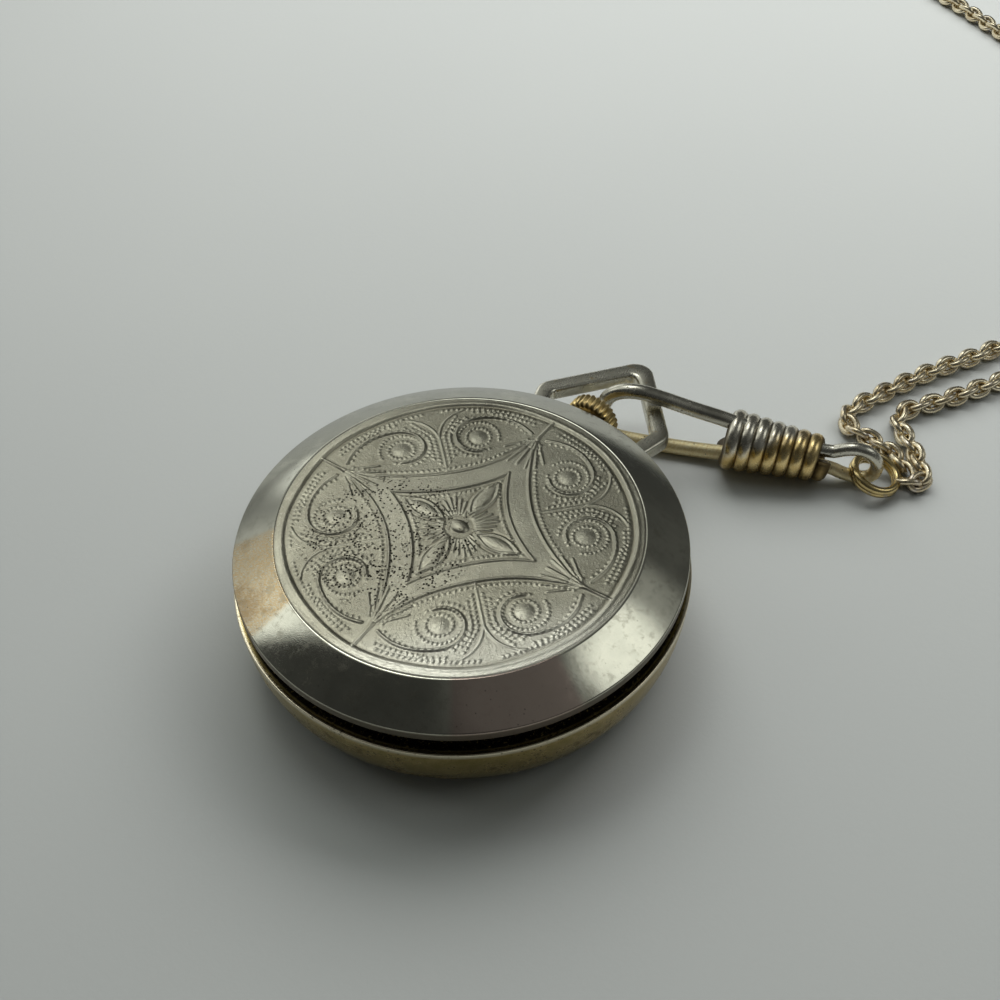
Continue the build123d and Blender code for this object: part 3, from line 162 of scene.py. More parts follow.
def worn_plate(name, bright, dull, bare, gloss=0.3, drawn=(1, 1, 1), worn_from=0.56):
    """Plated metal: tarnish in clouds, fine drawn scratches, and the base metal where plating has gone."""
    plate = Finish(name, Metallic=1.0)
    clouds = plate.place.grain(0.45, 4.0, 0.6)
    scratches = plate.place.grain(9.0, 3.0, 0.7, drawn)
    gone = plate.place.grain(0.9, 5.0, 0.65).rise(worn_from, worn_from + 0.1)
    dust = plate.place.specks(3.1, 0.16) * clouds.rise(0.45, 0.65)
    colour = gone.between(clouds.rise(0.35, 0.7).between(bright, dull), bare)
    colour = (dust * 0.8).between(colour, (0.02, 0.016, 0.01))
    rough = gloss + clouds * 0.2 + scratches * 0.16 + dust * 0.3 - 0.15
    return plate.surface(colour, rough, scratches * 0.35 + clouds - dust, 0.006)


def piece(name, verts, faces, finishes, body, *stands_for, smooth=True):
    """A mesh in metres that rides on a body and may stand for CAD nodes."""
    mesh = bpy.data.meshes.new(name)
    mesh.from_pydata([tuple(v) for v in verts], [], [tuple(f) for f in faces])
    for material in finishes:
        mesh.materials.append(material)
    mesh.polygons.foreach_set("use_smooth", [smooth] * len(mesh.polygons))
    made = bpy.data.objects.new(name, mesh)
    bpy.context.scene.collection.objects.link(made)
    if body:
        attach(made, body)
    if stands_for:
        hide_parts(*stands_for)
    return made


def quads(rings, count, closed=True):
    """Faces of a tube of rings with so many corners. A closed one joins its last ring to its first."""
    faces = []
    for i in range(rings if closed else rings - 1):
        one, two = i * count, (i + 1) % rings * count
        faces += [(one + k, two + k, two + (k + 1) % count, one + (k + 1) % count) for k in range(count)]
    return faces


def drawn_wire(line, radius, sides, closed=False, lean=Vector((0, 0, 1))):
    """Round wire along a line: its places and its faces."""
    line = [Vector(p) for p in line]
    count, verts, turns = len(line), [], [2 * pi * k / sides for k in range(sides)]
    for i, here in enumerate(line):
        before = line[i - 1] if i or closed else line[0]
        after = line[(i + 1) % count] if closed or i + 1 < count else line[-1]
        along = (after - before).normalized()
        lean = (lean - along * lean.dot(along)).normalized()
        side = lean.cross(along)
        verts += [here + radius * (cos(a) * lean + sin(a) * side) for a in turns]
    faces = quads(count, sides, closed)
    if not closed:
        faces += [tuple(range(sides)), tuple(range((count - 1) * sides, count * sides))[::-1]]
    return verts, faces


def gather(parts):
    """Several meshes as one."""
    verts, faces = [], []
    for more_verts, more_faces in parts:
        faces += [[i + len(verts) for i in face] for face in more_faces]
        verts += more_verts
    return verts, faces


def middle_line(name, places):
    """The smooth line that a chain or a wire follows, read from its spline."""
    data = bpy.data.curves.new(name, "CURVE")
    data.dimensions, data.resolution_u = "3D", 10
    spline = data.splines.new("NURBS")
    spline.points.add(len(places) - 1)
    for point, place in zip(spline.points, places):
        point.co = (*place, 1)
    spline.order_u, spline.use_endpoint_u = 3, True
    bare = bpy.data.objects.new(name, data)
    line = [v.co.copy() for v in bpy.data.meshes.new_from_object(bare).vertices]
    bpy.data.objects.remove(bare)
    return line


link_length, link_width, link_wire, link_pitch = 2.2 * mm, 1.62 * mm, 0.26 * mm, 1.06 * mm
link_steps, link_sides, link_twist, link_leans = 18, 6, radians(38), (radians(-50), radians(40))
link_reach = 0.45
chain_thick = 1.4 * mm
low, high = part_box("jump_ring")
ring_middle = (low + high) / 2
chain_z = 0.7 * mm


def links_along(line, first, extra=0):
    """Twisted oval links along a line. Extra links go on past its start, to reach the jump ring."""
    travelled = np.concatenate([[0], np.cumsum([(b - a).length for a, b in zip(line, line[1:])])])
    count = round(travelled[-1] / link_pitch)
    pitch = travelled[-1] / count
    wires = []
    for i in range(-extra, count):
        at = (i + 0.5) * pitch
        inside = min(max(at, pitch * 0.5), travelled[-1] - pitch * 0.5)
        ends = []
        for off in (-pitch * link_reach, pitch * link_reach):
            ends.append(Vector([np.interp(inside + off, travelled, [p[k] for p in line]) for k in range(3)]))
        along = (ends[1] - ends[0]).normalized()
        centre = (ends[0] + ends[1]) / 2 + along * (at - inside)
        side = along.cross(Vector((0, 0, 1))).normalized()
        over = side.cross(along)
        loop = []
        for k in range(link_steps):
            a = 2 * pi * k / link_steps
            far = (link_length / 2 - link_wire) * cos(a)
            wide = (link_width / 2 - link_wire) * sin(a) * (1 + 0.15 * cos(a) ** 2)
            tilt = link_leans[(i + first) % 2] + link_twist * far / link_length
            loop.append(centre + along * far + wide * (cos(tilt) * side + sin(tilt) * over))
        wires.append(drawn_wire(loop, link_wire, link_sides, True))
    return gather(wires), count


def on_table(places):
    """Places on the table from their distances to the jump ring, in millimetres."""
    return [Vector((ring_middle.x + x * mm, ring_middle.y + y * mm, chain_z)) for x, y in places]


first_run = on_table([
    (1.28, 2.12), (0.18, 3.47), (-5.42, 3.97), (-2.82, 9.77), (-0.72, 13.87), (2.18, 18.07), (4.88, 24.27),
    (5.28, 34.27), (1.88, 46.27), (-3.92, 56.27), (-10.32, 63.97), (-13.72, 65.77),
])
far_corner = on_table([
    (-13.72, 65.77), (-15.82, 66.87), (-18.92, 68.67), (-26.32, 72.37), (-27.52, 76.37),
    (-24.12, 81.97), (-17.12, 85.87), (-9.21, 86.47), (-1.72, 86.47),
])
coil_middle = ring_middle + Vector((-1.72, 75.77, 0)) * mm
coil_first_r, coil_step, coil_halves_down, coil_halves_up = 10.7 * mm, 0.94 * mm, 6, 5
coil_rise, places_a_half = 2 * coil_step, 8
coil = []
side, turn_y = 1, coil_middle.y + coil_first_r
half_radii = [coil_first_r - coil_step * i for i in range(coil_halves_down + 1)]
half_radii += [half_radii[-1] + coil_step * (i + 1) for i in range(coil_halves_up + 1)]
for i, r in enumerate(half_radii):
    last = i == len(half_radii) - 1
    half_span = (r * r - coil_step**2) ** 0.5 if i == coil_halves_down else r
    for k in range(places_a_half // 2 if last else places_a_half):
        # control places stand outside the turn, so that the spline keeps its radius
        a, out = pi * k / places_a_half, r / cos(pi / places_a_half / 2)
        a_mid = a + pi / places_a_half / 2
        climb = 0 if i < coil_halves_down else 1 if i > coil_halves_down else a_mid / pi
        z = chain_z + coil_rise * climb
        y = turn_y - side * (half_span - out * cos(a_mid))
        coil.append(Vector((coil_middle.x + side * out * sin(a_mid), y, z)))
    if last:
        coil_exit = Vector((coil_middle.x + side * r, turn_y - side * r, chain_z + coil_rise))
    turn_y, side = turn_y - side * 2 * half_span, -side
coil = [far_corner[-1]] + coil + [coil_exit]
drop = coil_rise / 6
second_run = [coil_exit, coil_exit + Vector((0, -2 * chain_thick, 0))]
second_run += [Vector((coil_exit.x + chain_thick / 5, ring_middle.y + 65.77 * mm, chain_z + drop))]
second_run += on_table([
    (9.58, 53.77), (10.18, 39.77), (8.88, 26.77), (5.88, 17.97), (3.08, 13.57), (0.98, 10.37),
    (-1.92, 6.97), (1.88, 3.97), (3.28, 1.47),
])
chain_gold = worn_plate("chain_gold", (0.96, 0.85, 0.63), (0.7, 0.58, 0.38), (0.78, 0.7, 0.6), 0.24)
link_count = 0
into_ring = on_table([(2.6, 1.0), (1.75, 0.7)])
for name, places, extra, beyond in (
    ("chain_run_a", first_run, 1, []),
    ("chain_corner", far_corner, 0, []),
    ("chain_coil", coil, 0, []),
    ("chain_run_b", second_run, 0, into_ring),
):
    line = middle_line(name, places)
    (verts, faces), count = links_along(line + beyond, link_count, extra)
    link_count += count
    at_ring = "run" in name
    chain = piece(name + "_links", verts, faces, [chain_gold], None if at_ring else "case", name)
    if at_ring:
        # this end goes up and down with the clasp, and the rest lies still
        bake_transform(chain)


# Case back: a pressed disc of nickel silver with stamped ornament on its flat, a polished slope
# round it and a short wall. It snaps on to the middle of the case, and its skirt hides inside.
flat_r, slope_r, flat_z, slope_z, wall_z = 12.18, 15.0, 9.0, 7.37, 6.67


def turned_ring(profile, steps=256):
    """Closed profile of (radius, height) in millimetres, turned round the watch's axis."""
    turns = [2 * pi * k / steps for k in range(steps)]
    verts = [Vector((r * cos(a), r * sin(a), z)) * mm for a in turns for r, z in profile]
    return verts, [face[::-1] for face in quads(steps, len(profile))]


def rounded(profile, radius, steps=4):
    """The profile with its corners rounded, each as far as its shorter side allows."""
    out = []
    for i, here in enumerate(profile):
        before, after = profile[i - 1], profile[(i + 1) % len(profile)]
        to = [(p[0] - here[0], p[1] - here[1]) for p in (before, after)]
        sizes = [hypot(*d) for d in to]
        reach = min(radius, 0.45 * min(sizes))
        start, end = [(here[0] + d[0] / s * reach, here[1] + d[1] / s * reach) for d, s in zip(to, sizes)]
        for k in range(steps + 1):
            t = k / steps
            shares = (1 - t) ** 2, 2 * t * (1 - t), t * t
            out.append(tuple(shares[0] * start[j] + shares[1] * here[j] + shares[2] * end[j] for j in (0, 1)))
    return out


def spiral(centre, start_angle, sweep, r_start, r_end, steps):
    angles = [radians(start_angle + sweep * k / steps) for k in range(steps + 1)]
    radii = [r_start + (r_end - r_start) * k / steps for k in range(steps + 1)]
    return [(centre[0] + r * cos(a), centre[1] + r * sin(a)) for a, r in zip(angles, radii)]


def bowed(one, two, bow, steps=10):
    """A line from one place to another that bows out to its left."""
    along = (two[0] - one[0], two[1] - one[1])
    line = []
    for k in range(steps + 1):
        t = k / steps
        off = 4 * bow * t * (1 - t) / hypot(*along)
        line.append((one[0] + along[0] * t - along[1] * off, one[1] + along[1] * t + along[0] * off))
    return line


def far_from(places, line):
    """How far each place is from a line of short straight steps."""
    best = np.full(len(places), 9.0)
    for one, two in zip(np.array(line[:-1]), np.array(line[1:])):
        step = two - one
        share = np.clip(((places - one) @ step) / (step @ step), 0, 1)
        best = np.minimum(best, np.hypot(*(places - one - share[:, None] * step).T))
    return best


def beads_on(line, gap, start=0.5):
    """Places along a line, one gap apart."""
    line = np.array(line)
    run = np.concatenate([[0], np.cumsum(np.hypot(*np.diff(line, axis=0).T))])
    at = np.arange(start * gap, run[-1], gap)
    return np.stack([np.interp(at, run, line[:, k]) for k in (0, 1)], 1)


# The ornament is the same in all eight half fields, so it is drawn once, in one of them:
# across is the way out through the middle of a field, and up the way towards a star's tip.
tip_r, corner_r, border_r = 9.8, 5.75, 11.55
outer_arc_at, outer_arc_r = 17.13, 12.33
inner_arc_at, inner_arc_r = 14.5, 11.2
half_turn = radians(45)


def arc_of(at, r, end_r, steps=14):
    """Arc that bulges towards the middle of the back, from the middle of a field to a tip."""
    end = (end_r * cos(half_turn), end_r * sin(half_turn))
    last = atan2(end[1], at - end[0])
    return [(at - r * cos(last * k / steps), r * sin(last * k / steps)) for k in range(steps + 1)]


button = np.array((7.76, 2.66))
tip = np.array((tip_r * cos(half_turn), tip_r * sin(half_turn)))
outer_arc = arc_of(outer_arc_at, outer_arc_r, tip_r)
inner_arc = arc_of(inner_arc_at, inner_arc_r, corner_r)
run_on = [tuple(tip * 0.9), tuple(tip * (11.3 / tip_r))]
scroll = spiral(button, 175, 195, 1.25, 1.85, 16)
scroll += bowed(scroll[-1], (7.28, 6.42), -0.62, 10)[1:]
fork = bowed((8.4, 0.0), (10.7, 2.3), -0.55, 8)
lines = [
    (outer_arc, 0.1, 0.1), (inner_arc, 0.1, 0.1), (run_on, 0.11, 0.1), (scroll, 0.1, 0.13),
    ([(4.85, 0), (8.4, 0)], 0.07, 0.04), (fork, 0.08, 0.05),
]
fan_strokes = ((1.25, 2.5), (1.2, 2.75), (1.15, 2.9), (1.1, 2.75), (1.2, 2.4))
for i, reaches in enumerate(fan_strokes):
    # the fan that opens from the tip towards the button
    aim = radians(212 + 13.5 * i)
    for a, ends, wide, high in ((aim, reaches, 0.085, 0.085), (aim + 0.06, (0.35, 0.95), 0.07, 0.05)):
        lines.append(([tuple(tip * 0.97 + np.array((cos(a), sin(a))) * r) for r in ends], wide, high))
for i in range(4):
    # petals between the leaves of the middle flower
    a = radians(4 + 9.5 * i)
    lines.append(([(r * cos(a), r * sin(a)) for r in (1.1, 2.55 - 0.22 * i)], 0.1, 0.07))
leaf_ends = [(r * cos(half_turn), r * sin(half_turn)) for r in (1.25, 4.55)]
leaf = bowed(*leaf_ends, -0.62, 12)
lines.append((leaf, 0.095, 0.085))
rows = [
    beads_on([(x - 0.42, y + 0.1) for x, y in inner_arc[:-1]], 0.32),
    beads_on([(x + 0.45, y) for x, y in outer_arc[:-2]], 0.36),
    beads_on(spiral((0, 0), 3, 36, 10.95, 10.95, 30), 0.36),
    beads_on(spiral(button, 150, 330, 1.34, 1.5, 30), 0.3),
    beads_on(spiral(button, 20, 360, 0.86, 0.86, 30), 0.3),
    beads_on(spiral((0, 0), 22, 19, 10.6, 10.6, 20), 0.34),
    beads_on(spiral(button, 190, 150, 1.72, 2.2, 30), 0.36),
    beads_on([(x + 0.1, y - 0.36) for x, y in scroll[10:]], 0.42),
    beads_on([(5.7, 0.32), (8.6, 0.38), (10.4, 1.75)], 0.36),
    beads_on([(6.2, 0.68), (8.3, 0.72), (10.1, 2.4)], 0.4),
    beads_on(bowed((10.3, 2.6), (9.3, 5.2), -0.2), 0.4),
]
beads = np.concatenate(rows)

grains = np.random.default_rng(4)
bead_r, button_r, boss_x, boss_y = 0.088, 0.66, 0.66, 0.5
leaf_mid, leaf_long, leaf_wide, field_edge = 2.9, 1.62, 0.5, 0.12


def relief(x, y):
    """Height of the stamped ornament over the flat, in millimetres."""
    x, y = x + 0.06 * np.sin(0.8 * y + 0.4), y + 0.06 * np.sin(0.7 * x + 1.3)
    r, a = np.hypot(x, y), np.arctan2(y, x)
    folded = np.abs((a % (pi / 2)) - pi / 4)
    at = np.stack([r * np.cos(folded), r * np.sin(folded)], 1)
    height = 0.006 * grains.standard_normal(len(x))
    for line, wide, high in lines:
        off = far_from(at, line) / wide
        height = np.maximum(height, high * np.exp(-off**2)) - 0.25 * high * np.exp(-((off - 1.9) ** 2) * 1.6)
    near = ((at[:, None, :] - beads[None]) ** 2).sum(2).min(1) ** 0.5
    height += 0.07 * np.exp(-((near / bead_r) ** 2))
    from_button = np.hypot(*(at - button).T)
    height += 0.08 * np.clip(1 - (from_button / button_r) ** 2, 0, 1) ** 1.4
    height += 0.22 * np.sqrt(np.clip(1 - ((x / boss_x) ** 2 + (y / boss_y) ** 2), 0, 1))
    along = (at @ (cos(half_turn), sin(half_turn)) - leaf_mid) / leaf_long
    wide = (at @ (-sin(half_turn), cos(half_turn))) / leaf_wide
    height += 0.12 * np.clip(1 - along**2 - wide**2, 0, 1) ** 0.6
    inside = np.hypot(at[:, 0] - inner_arc_at, at[:, 1]) - inner_arc_r
    field = outer_arc_r - np.hypot(at[:, 0] - outer_arc_at, at[:, 1])
    within = np.clip((border_r - 0.15 - r) / field_edge, 0, 1)
    ground = np.clip(inside / field_edge, 0, 1) + np.clip(field / field_edge, 0, 1) * within
    height -= 0.05 * ground * (r < border_r)
    height += 0.05 * np.exp(-(((r - border_r) / 0.13) ** 2))
    height -= 0.03 * np.exp(-(((r - border_r + 0.3) / 0.14) ** 2))
    worn = 0.78 + 0.22 * np.sin(0.55 * x + 1.0) * np.cos(0.42 * y - 0.6)
    return height * worn


across = 400
grid = np.linspace(-1, 1, across + 1)
u, v = [side.ravel() for side in np.meshgrid(grid, grid)]
# a square of rows laid out as a round disc, so that every quad is about as large
big = np.where(np.abs(u) >= np.abs(v), u, v)
small = np.where(np.abs(u) >= np.abs(v), v, u)
bearing = pi / 4 * np.divide(small, big, out=np.zeros_like(big), where=big != 0)
bearing = np.where(np.abs(u) >= np.abs(v), bearing, pi / 2 - bearing)
x, y = big * np.cos(bearing) * (flat_r - 0.03), big * np.sin(bearing) * (flat_r - 0.03)
r = np.hypot(x, y)
z = flat_z - 0.02 + relief(x, y) - 0.12 * np.clip((r - flat_r + 0.22) / 0.19, 0, 1) ** 2
n = across + 1
stamped_faces = [(k, k + 1, k + n + 1, k + n) for j in range(across) for k in range(j * n, j * n + across)]
stamped = ([Vector(p) * mm for p in zip(x, y, z)], stamped_faces)
skirt_out, skirt_in, skirt_z, lining_r, edge_round = 13.93, 13.53, 6.07, 12.0, 0.09
back_profile = rounded([
    (flat_r - 0.3, flat_z - 0.1), (flat_r, flat_z - 0.03), (slope_r, slope_z), (slope_r, wall_z),
    (skirt_out, wall_z), (skirt_out, skirt_z), (skirt_in, skirt_z), (skirt_in, 7.45), (lining_r, 8.35),
    (lining_r, 8.6),
], edge_round)
n = 64
inner_disc = spiral((0, 0), 0, 360, lining_r, lining_r, n)[:-1]
lining_faces = [tuple(range(n))[::-1], tuple(range(n, 2 * n))] + [face[::-1] for face in quads(2, n, False)]
lining = [Vector((x, y, z)) * mm for z in (8.4, 8.62) for x, y in inner_disc], lining_faces

# The flat is matt from stamping and handling. Its colour has painted shade towards the crown and a painted
# highlight at the side away from it. Dark pits lie thickest left of the middle. Crevices keep a little black.
satin = Finish("stamped_nickel", Metallic=1.0)
px, py, pz = satin.place.parts()
clouds = satin.place.grain(0.32, 4.0, 0.6)
fine = satin.place.grain(14.0, 3.0, 0.7)
from_patch = ((px + 3.2) ** 2.0 + (py + 3.4) ** 2.0) ** 0.5
patch = from_patch.rise(8.5, 2.5) * 0.75 + clouds.rise(0.5, 0.75) * 0.3
pits = satin.place.specks(4.6, 0.4) * satin.place.grain(1.1, 3.0).rise(0.42, 0.52) * patch.rise(0.25, 0.5)
# painted shade: the flat's colour is painted darker towards the crown
shaded = (py * 0.85 + px * 0.15).rise(-4.0, 6.0)
specks = satin.place.grain(6.5, 2.0, 0.8).rise(0.5, 0.72)
low_places = pz.rise(flat_z - 0.03, flat_z - 0.1) * 0.55
tint = clouds.rise(0.3, 0.7).between((0.365, 0.342, 0.262), (0.565, 0.535, 0.415))
tint = (patch * 0.35).between(tint, (0.4, 0.37, 0.29))
# painted highlight: the side of the flat away from the crown is painted lighter
lit = (px * 0.6 - py * 0.6).rise(5.5, 9.0)
tint = (lit * 0.7).between(tint, (0.95, 0.92, 0.8))
tint = (specks * 0.35).between(tint, (0.8, 0.77, 0.66))
# the painted shade mixed into the flat's colour
tint = (shaded * 0.55).between(tint, (0.26, 0.25, 0.2))
tint = low_places.between(tint, (0.17, 0.15, 0.1))
tint = pits.between(tint, (0.015, 0.012, 0.008))
roughened = fine * 0.5 + specks * 0.4 - pits * 1.2 + clouds * 0.5
satin.surface(tint, clouds * 0.14 + fine * 0.1 + 0.2 + pits * 0.3, roughened, 0.02)

# The slope was polished bright and has worn in patches: scratched through to the brass on the
# left, and stained. Its colour has a painted dark reflection on the far side and a painted rosy
# reflection on the near side.
polished = Finish("polished_slope", Metallic=1.0)
px, py, pz = polished.place.parts()
bearing = py.maths("ARCTAN2", py, px)
clouds = polished.place.grain(0.28, 5.0, 0.62)
scratches = polished.place.grain(5.0, 4.0, 0.75, (1.0, 3.5, 0.6))
stains = polished.place.grain(1.3, 5.0, 0.7).rise(0.5, 0.66)
brassy = bearing.maths("ABSOLUTE", bearing + 2.29).rise(0.29, 0.24)
# painted reflection: a rosy tint on the near side of the slope
painted_rosy_reflection = bearing.maths("ABSOLUTE", bearing + 0.73).rise(0.3, 0.25)
# painted reflection: the far side of the polished slope is painted dark grey
painted_dark_reflection = (bearing.rise(0.45, 1.1) + bearing.rise(-2.45, -2.75)) * (1.0 - clouds.rise(0.55, 0.7) * 0.4)
# painted shade: the slope's lower edge and the wall below it are painted dark
edge = pz.rise(slope_z + 0.06, slope_z - 0.2)
tint = clouds.rise(0.3, 0.7).between((0.52, 0.51, 0.42), (0.66, 0.64, 0.53))
tint = (stains * 0.4).between(tint, (0.3, 0.28, 0.21))
tint = (brassy * scratches.rise(0.35, 0.6)).between(tint, (0.58, 0.42, 0.22))
tint = (painted_rosy_reflection * 0.8).between(tint, (0.56, 0.43, 0.37))
tint = (brassy * clouds.rise(0.5, 0.62) * 0.55).between(tint, (0.3, 0.2, 0.1))
# the painted dark reflection mixed into the slope's colour
tint = (painted_dark_reflection * 0.72).between(tint, (0.27, 0.265, 0.225))
# the painted shade on the wall mixed into the slope's colour
tint = (edge * 0.9).between(tint, (0.1, 0.08, 0.055))
marks = polished.place.specks(2.2, 0.1) * clouds.rise(0.45, 0.6)
tint = marks.between(tint, (0.03, 0.025, 0.02))
rough = clouds * 0.08 + scratches * 0.07 + stains * 0.09 + brassy * 0.16 + edge * 0.3 + 0.03
polished.surface(tint, rough, scratches * 0.4 + clouds, 0.006)
verts, faces = gather([stamped, turned_ring(back_profile), lining])
back = piece("stamped_back", verts, faces, [satin.material, polished.material], "back", "case_back")
stamped_count = len(stamped_faces)
back.data.polygons.foreach_set("material_index", [0] * stamped_count + [1] * (len(faces) - stamped_count))

# Front case: middle and bezel turned from one piece of gold-plated brass. The bezel curves in
# under the rim to the crystal, and the back sits on the recessed band, where dirt has gathered and
# its colour is also painted dark as shade.
band_r, rim_r, rim_z, seat_r, bore_r = 14.35, 15.21, 5.42, 13.95, 12.65
bezel = [(14.0, 1.15), (14.4, 1.6), (14.72, 2.3), (14.97, 3.2), (15.13, 4.2), (rim_r, 5.12)]
upper_profile = rounded([
    bezel[-1], (rim_r, rim_z), (band_r, rim_z - 0.05), (band_r, wall_z - 0.02), (seat_r, wall_z - 0.02),
    (seat_r, 5.6), (bore_r, 5.6), (bore_r, 1.32), bezel[0],
], edge_round)
# both end corners lie on the bezel's curve and stay sharp
case_profile = (bezel + upper_profile[5:-5])[::-1]
gilt = Finish("worn_gilt_case", Metallic=1.0)
px, py, pz = gilt.place.parts()
out = (px * px + py * py) ** 0.5
clouds = gilt.place.grain(0.5, 5.0, 0.65)
scratches = gilt.place.grain(7.0, 3.0, 0.75, (1, 1, 0.3))
# dirt and painted shade: the recessed band under the back is painted near black
dirt = out.rise(15.0, 14.75) * pz.rise(rim_z - 0.3, rim_z - 0.12)
# tarnish in clouds and painted shade: only the lower bezel near the table is darkened
tarnish = clouds.rise(0.5, 0.68) * pz.rise(4.9, 4.2) * 0.75
# painted highlight: a light gold line along the rim's outer edge
painted_rim_highlight = pz.rise(4.95, 5.25) * out.rise(14.95, 15.12)
tint = clouds.rise(0.35, 0.65).between((0.4, 0.31, 0.1), (0.6, 0.47, 0.2))
tint = tarnish.between(tint, (0.12, 0.09, 0.04))
tint = painted_rim_highlight.between(tint, (0.78, 0.7, 0.52))
flecks = gilt.place.specks(3.2, 0.3) * clouds.rise(0.42, 0.55)
tint = (flecks * 0.75).between(tint, (0.09, 0.07, 0.03))
crumbs = gilt.place.grain(4.5, 3.0, 0.8).rise(0.56, 0.66)
tint = (dirt * (1.0 - crumbs * 0.5)).between(tint, (0.012, 0.009, 0.006))
rough = clouds * 0.15 + scratches * 0.12 + tarnish * 0.25 + dirt * 0.45 + 0.1
gilt.surface(tint, rough, scratches * 0.4 + clouds - tarnish, 0.012)
verts, faces = turned_ring(case_profile)
case_piece = piece("gilt_case", verts, faces, [gilt.material], "case", "front_case")


# Crown: gilt brass turned with a bore for the tube, its rim knurled for the fingers. It is screwed
# on the stem, and its grooves hold dirt.
crown_r, crown_y, crown_len, stem_z, knurls, knurl_steps = 1.95, 16.0, 1.3, 5.0, 26, 8
tube_bore_r, bore_deep, groove_deep = 1.3, 0.9, 0.17


def knurled_crown():
    rows = [(bore_deep, tube_bore_r), (0.0, tube_bore_r), (0.0, crown_r - 0.25), (0.1, crown_r - 0.07)]
    rows += [(0.22, crown_r), (crown_len - 0.25, crown_r), (crown_len - 0.1, crown_r - 0.08)]
    rows += [(crown_len - 0.03, crown_r - 0.25), (crown_len, crown_r - 0.6), (crown_len, 0.35)]
    count, verts = knurls * knurl_steps, []
    for y, r in rows:
        groove = groove_deep * min(1, max(0, (r - crown_r + 0.4) / 0.25))
        for k in range(count):
            a = 2 * pi * k / count
            here = r - groove * (0.5 - 0.5 * cos(knurls * a)) ** 1.4
            verts.append(Vector((here * cos(a), crown_y + y, stem_z + here * sin(a))) * mm)
    faces = quads(len(rows), count, False)
    return verts, faces + [tuple(range(len(verts) - count, len(verts)))[::-1], tuple(range(count))]


crown_gilt = Finish("knurled_gilt", Metallic=1.0)
px, py, pz = crown_gilt.place.parts()
from_stem = (px * px + (pz - stem_z) ** 2.0) ** 0.5
clouds = crown_gilt.place.grain(0.9, 4.0, 0.6)
deep = from_stem.rise(crown_r - 0.03, crown_r - 0.15) * py.rise(crown_y, crown_y + 0.2)
deep = deep * py.rise(crown_y + crown_len, crown_y + 1.5)
tint = clouds.rise(0.3, 0.7).between((0.5, 0.37, 0.15), (0.66, 0.5, 0.24))
tint = deep.between(tint, (0.09, 0.06, 0.025))
crown_gilt.surface(tint, clouds * 0.2 + deep * 0.3 + 0.2, clouds, 0.01)
verts, faces = knurled_crown()
crown_piece = piece("knurled_crown", verts, faces, [crown_gilt.material], "stem", "crown")


# Bow: a flat five-sided loop cut from bright plated strip, its edges rounded by polishing, and
# brazed to the middle of the case. It doesn't swing.
bow_corners = [(-4.2, 13.0), (4.2, 13.0), (5.65, 18.3), (0.0, 25.3), (-5.65, 18.3)]
bow_w, bow_t, bow_round, bow_top, bow_turn_y, bow_droop = 1.3, 1.1, 1.3, 4.75, 18.3, radians(3)


def inset_loop(corners, inset, radius, steps=7):
    """The loop moved inwards all round, with round corners."""
    n, sides = len(corners), []
    for i, one in enumerate(corners):
        two = corners[(i + 1) % n]
        d = Vector((two[0] - one[0], two[1] - one[1])).normalized()
        sides.append((Vector(one) + Vector((-d.y, d.x)) * inset, d))
    loop = []
    for i in range(n):
        (p, d), (q, e) = sides[i - 1], sides[i]
        meet = p + d * ((q - p).cross(e) / d.cross(e))
        turn = d.angle(e)
        reach = radius * tan(turn / 2)
        middle = meet - d * reach + Vector((-d.y, d.x)) * radius
        for k in range(steps + 1):
            a = turn * k / steps
            loop.append(middle + radius * (sin(a) * d - cos(a) * Vector((-d.y, d.x))))
    return loop


section = [(0.28, 0), (0.1, -0.05), (0.02, -0.16), (0, -0.3)]
section += [(0, -0.8), (0.03, -0.95), (0.12, -1.05), (0.28, -bow_t)]
section += [(bow_w - d, h) for d, h in section[::-1]]
verts = []
for inset, h in section:
    for p in inset_loop(bow_corners, inset, bow_round - 0.5 * inset):
        out_y = p.y - bow_turn_y
        verts.append(Vector((p.x, bow_turn_y + out_y * cos(bow_droop) + h * sin(bow_droop),
                             bow_top - out_y * sin(bow_droop) + h * cos(bow_droop))) * mm)
faces = quads(len(section), len(verts) // len(section))
bow_bright, bow_dull, bow_bare = (0.66, 0.63, 0.53), (0.43, 0.41, 0.33), (0.52, 0.4, 0.22)
bow_plate = worn_plate("bow_plate", bow_bright, bow_dull, bow_bare, 0.26, (1, 0.25, 1), 0.58)
bow_piece = piece("bow_loop", verts, faces, [bow_plate], "case", "bow")


# Clasp: one length of plated spring wire, bent to a hairpin that hooks over the bow, and to a
# small loop at its other end. Its underside has worn to the gold colour below the silver.
clasp_x, clasp_y, clasp_turn, wire_r, loop_wire_r = -0.1, 19.75, radians(19), 0.58, 0.5


def on_clasp(along, z, aside=0.0):
    """A place by its distance from the hairpin's bend, its height and how far it is to the left."""
    return Vector((clasp_x + along * cos(clasp_turn) - aside * sin(clasp_turn),
                   clasp_y + along * sin(clasp_turn) + aside * cos(clasp_turn), z)) * mm


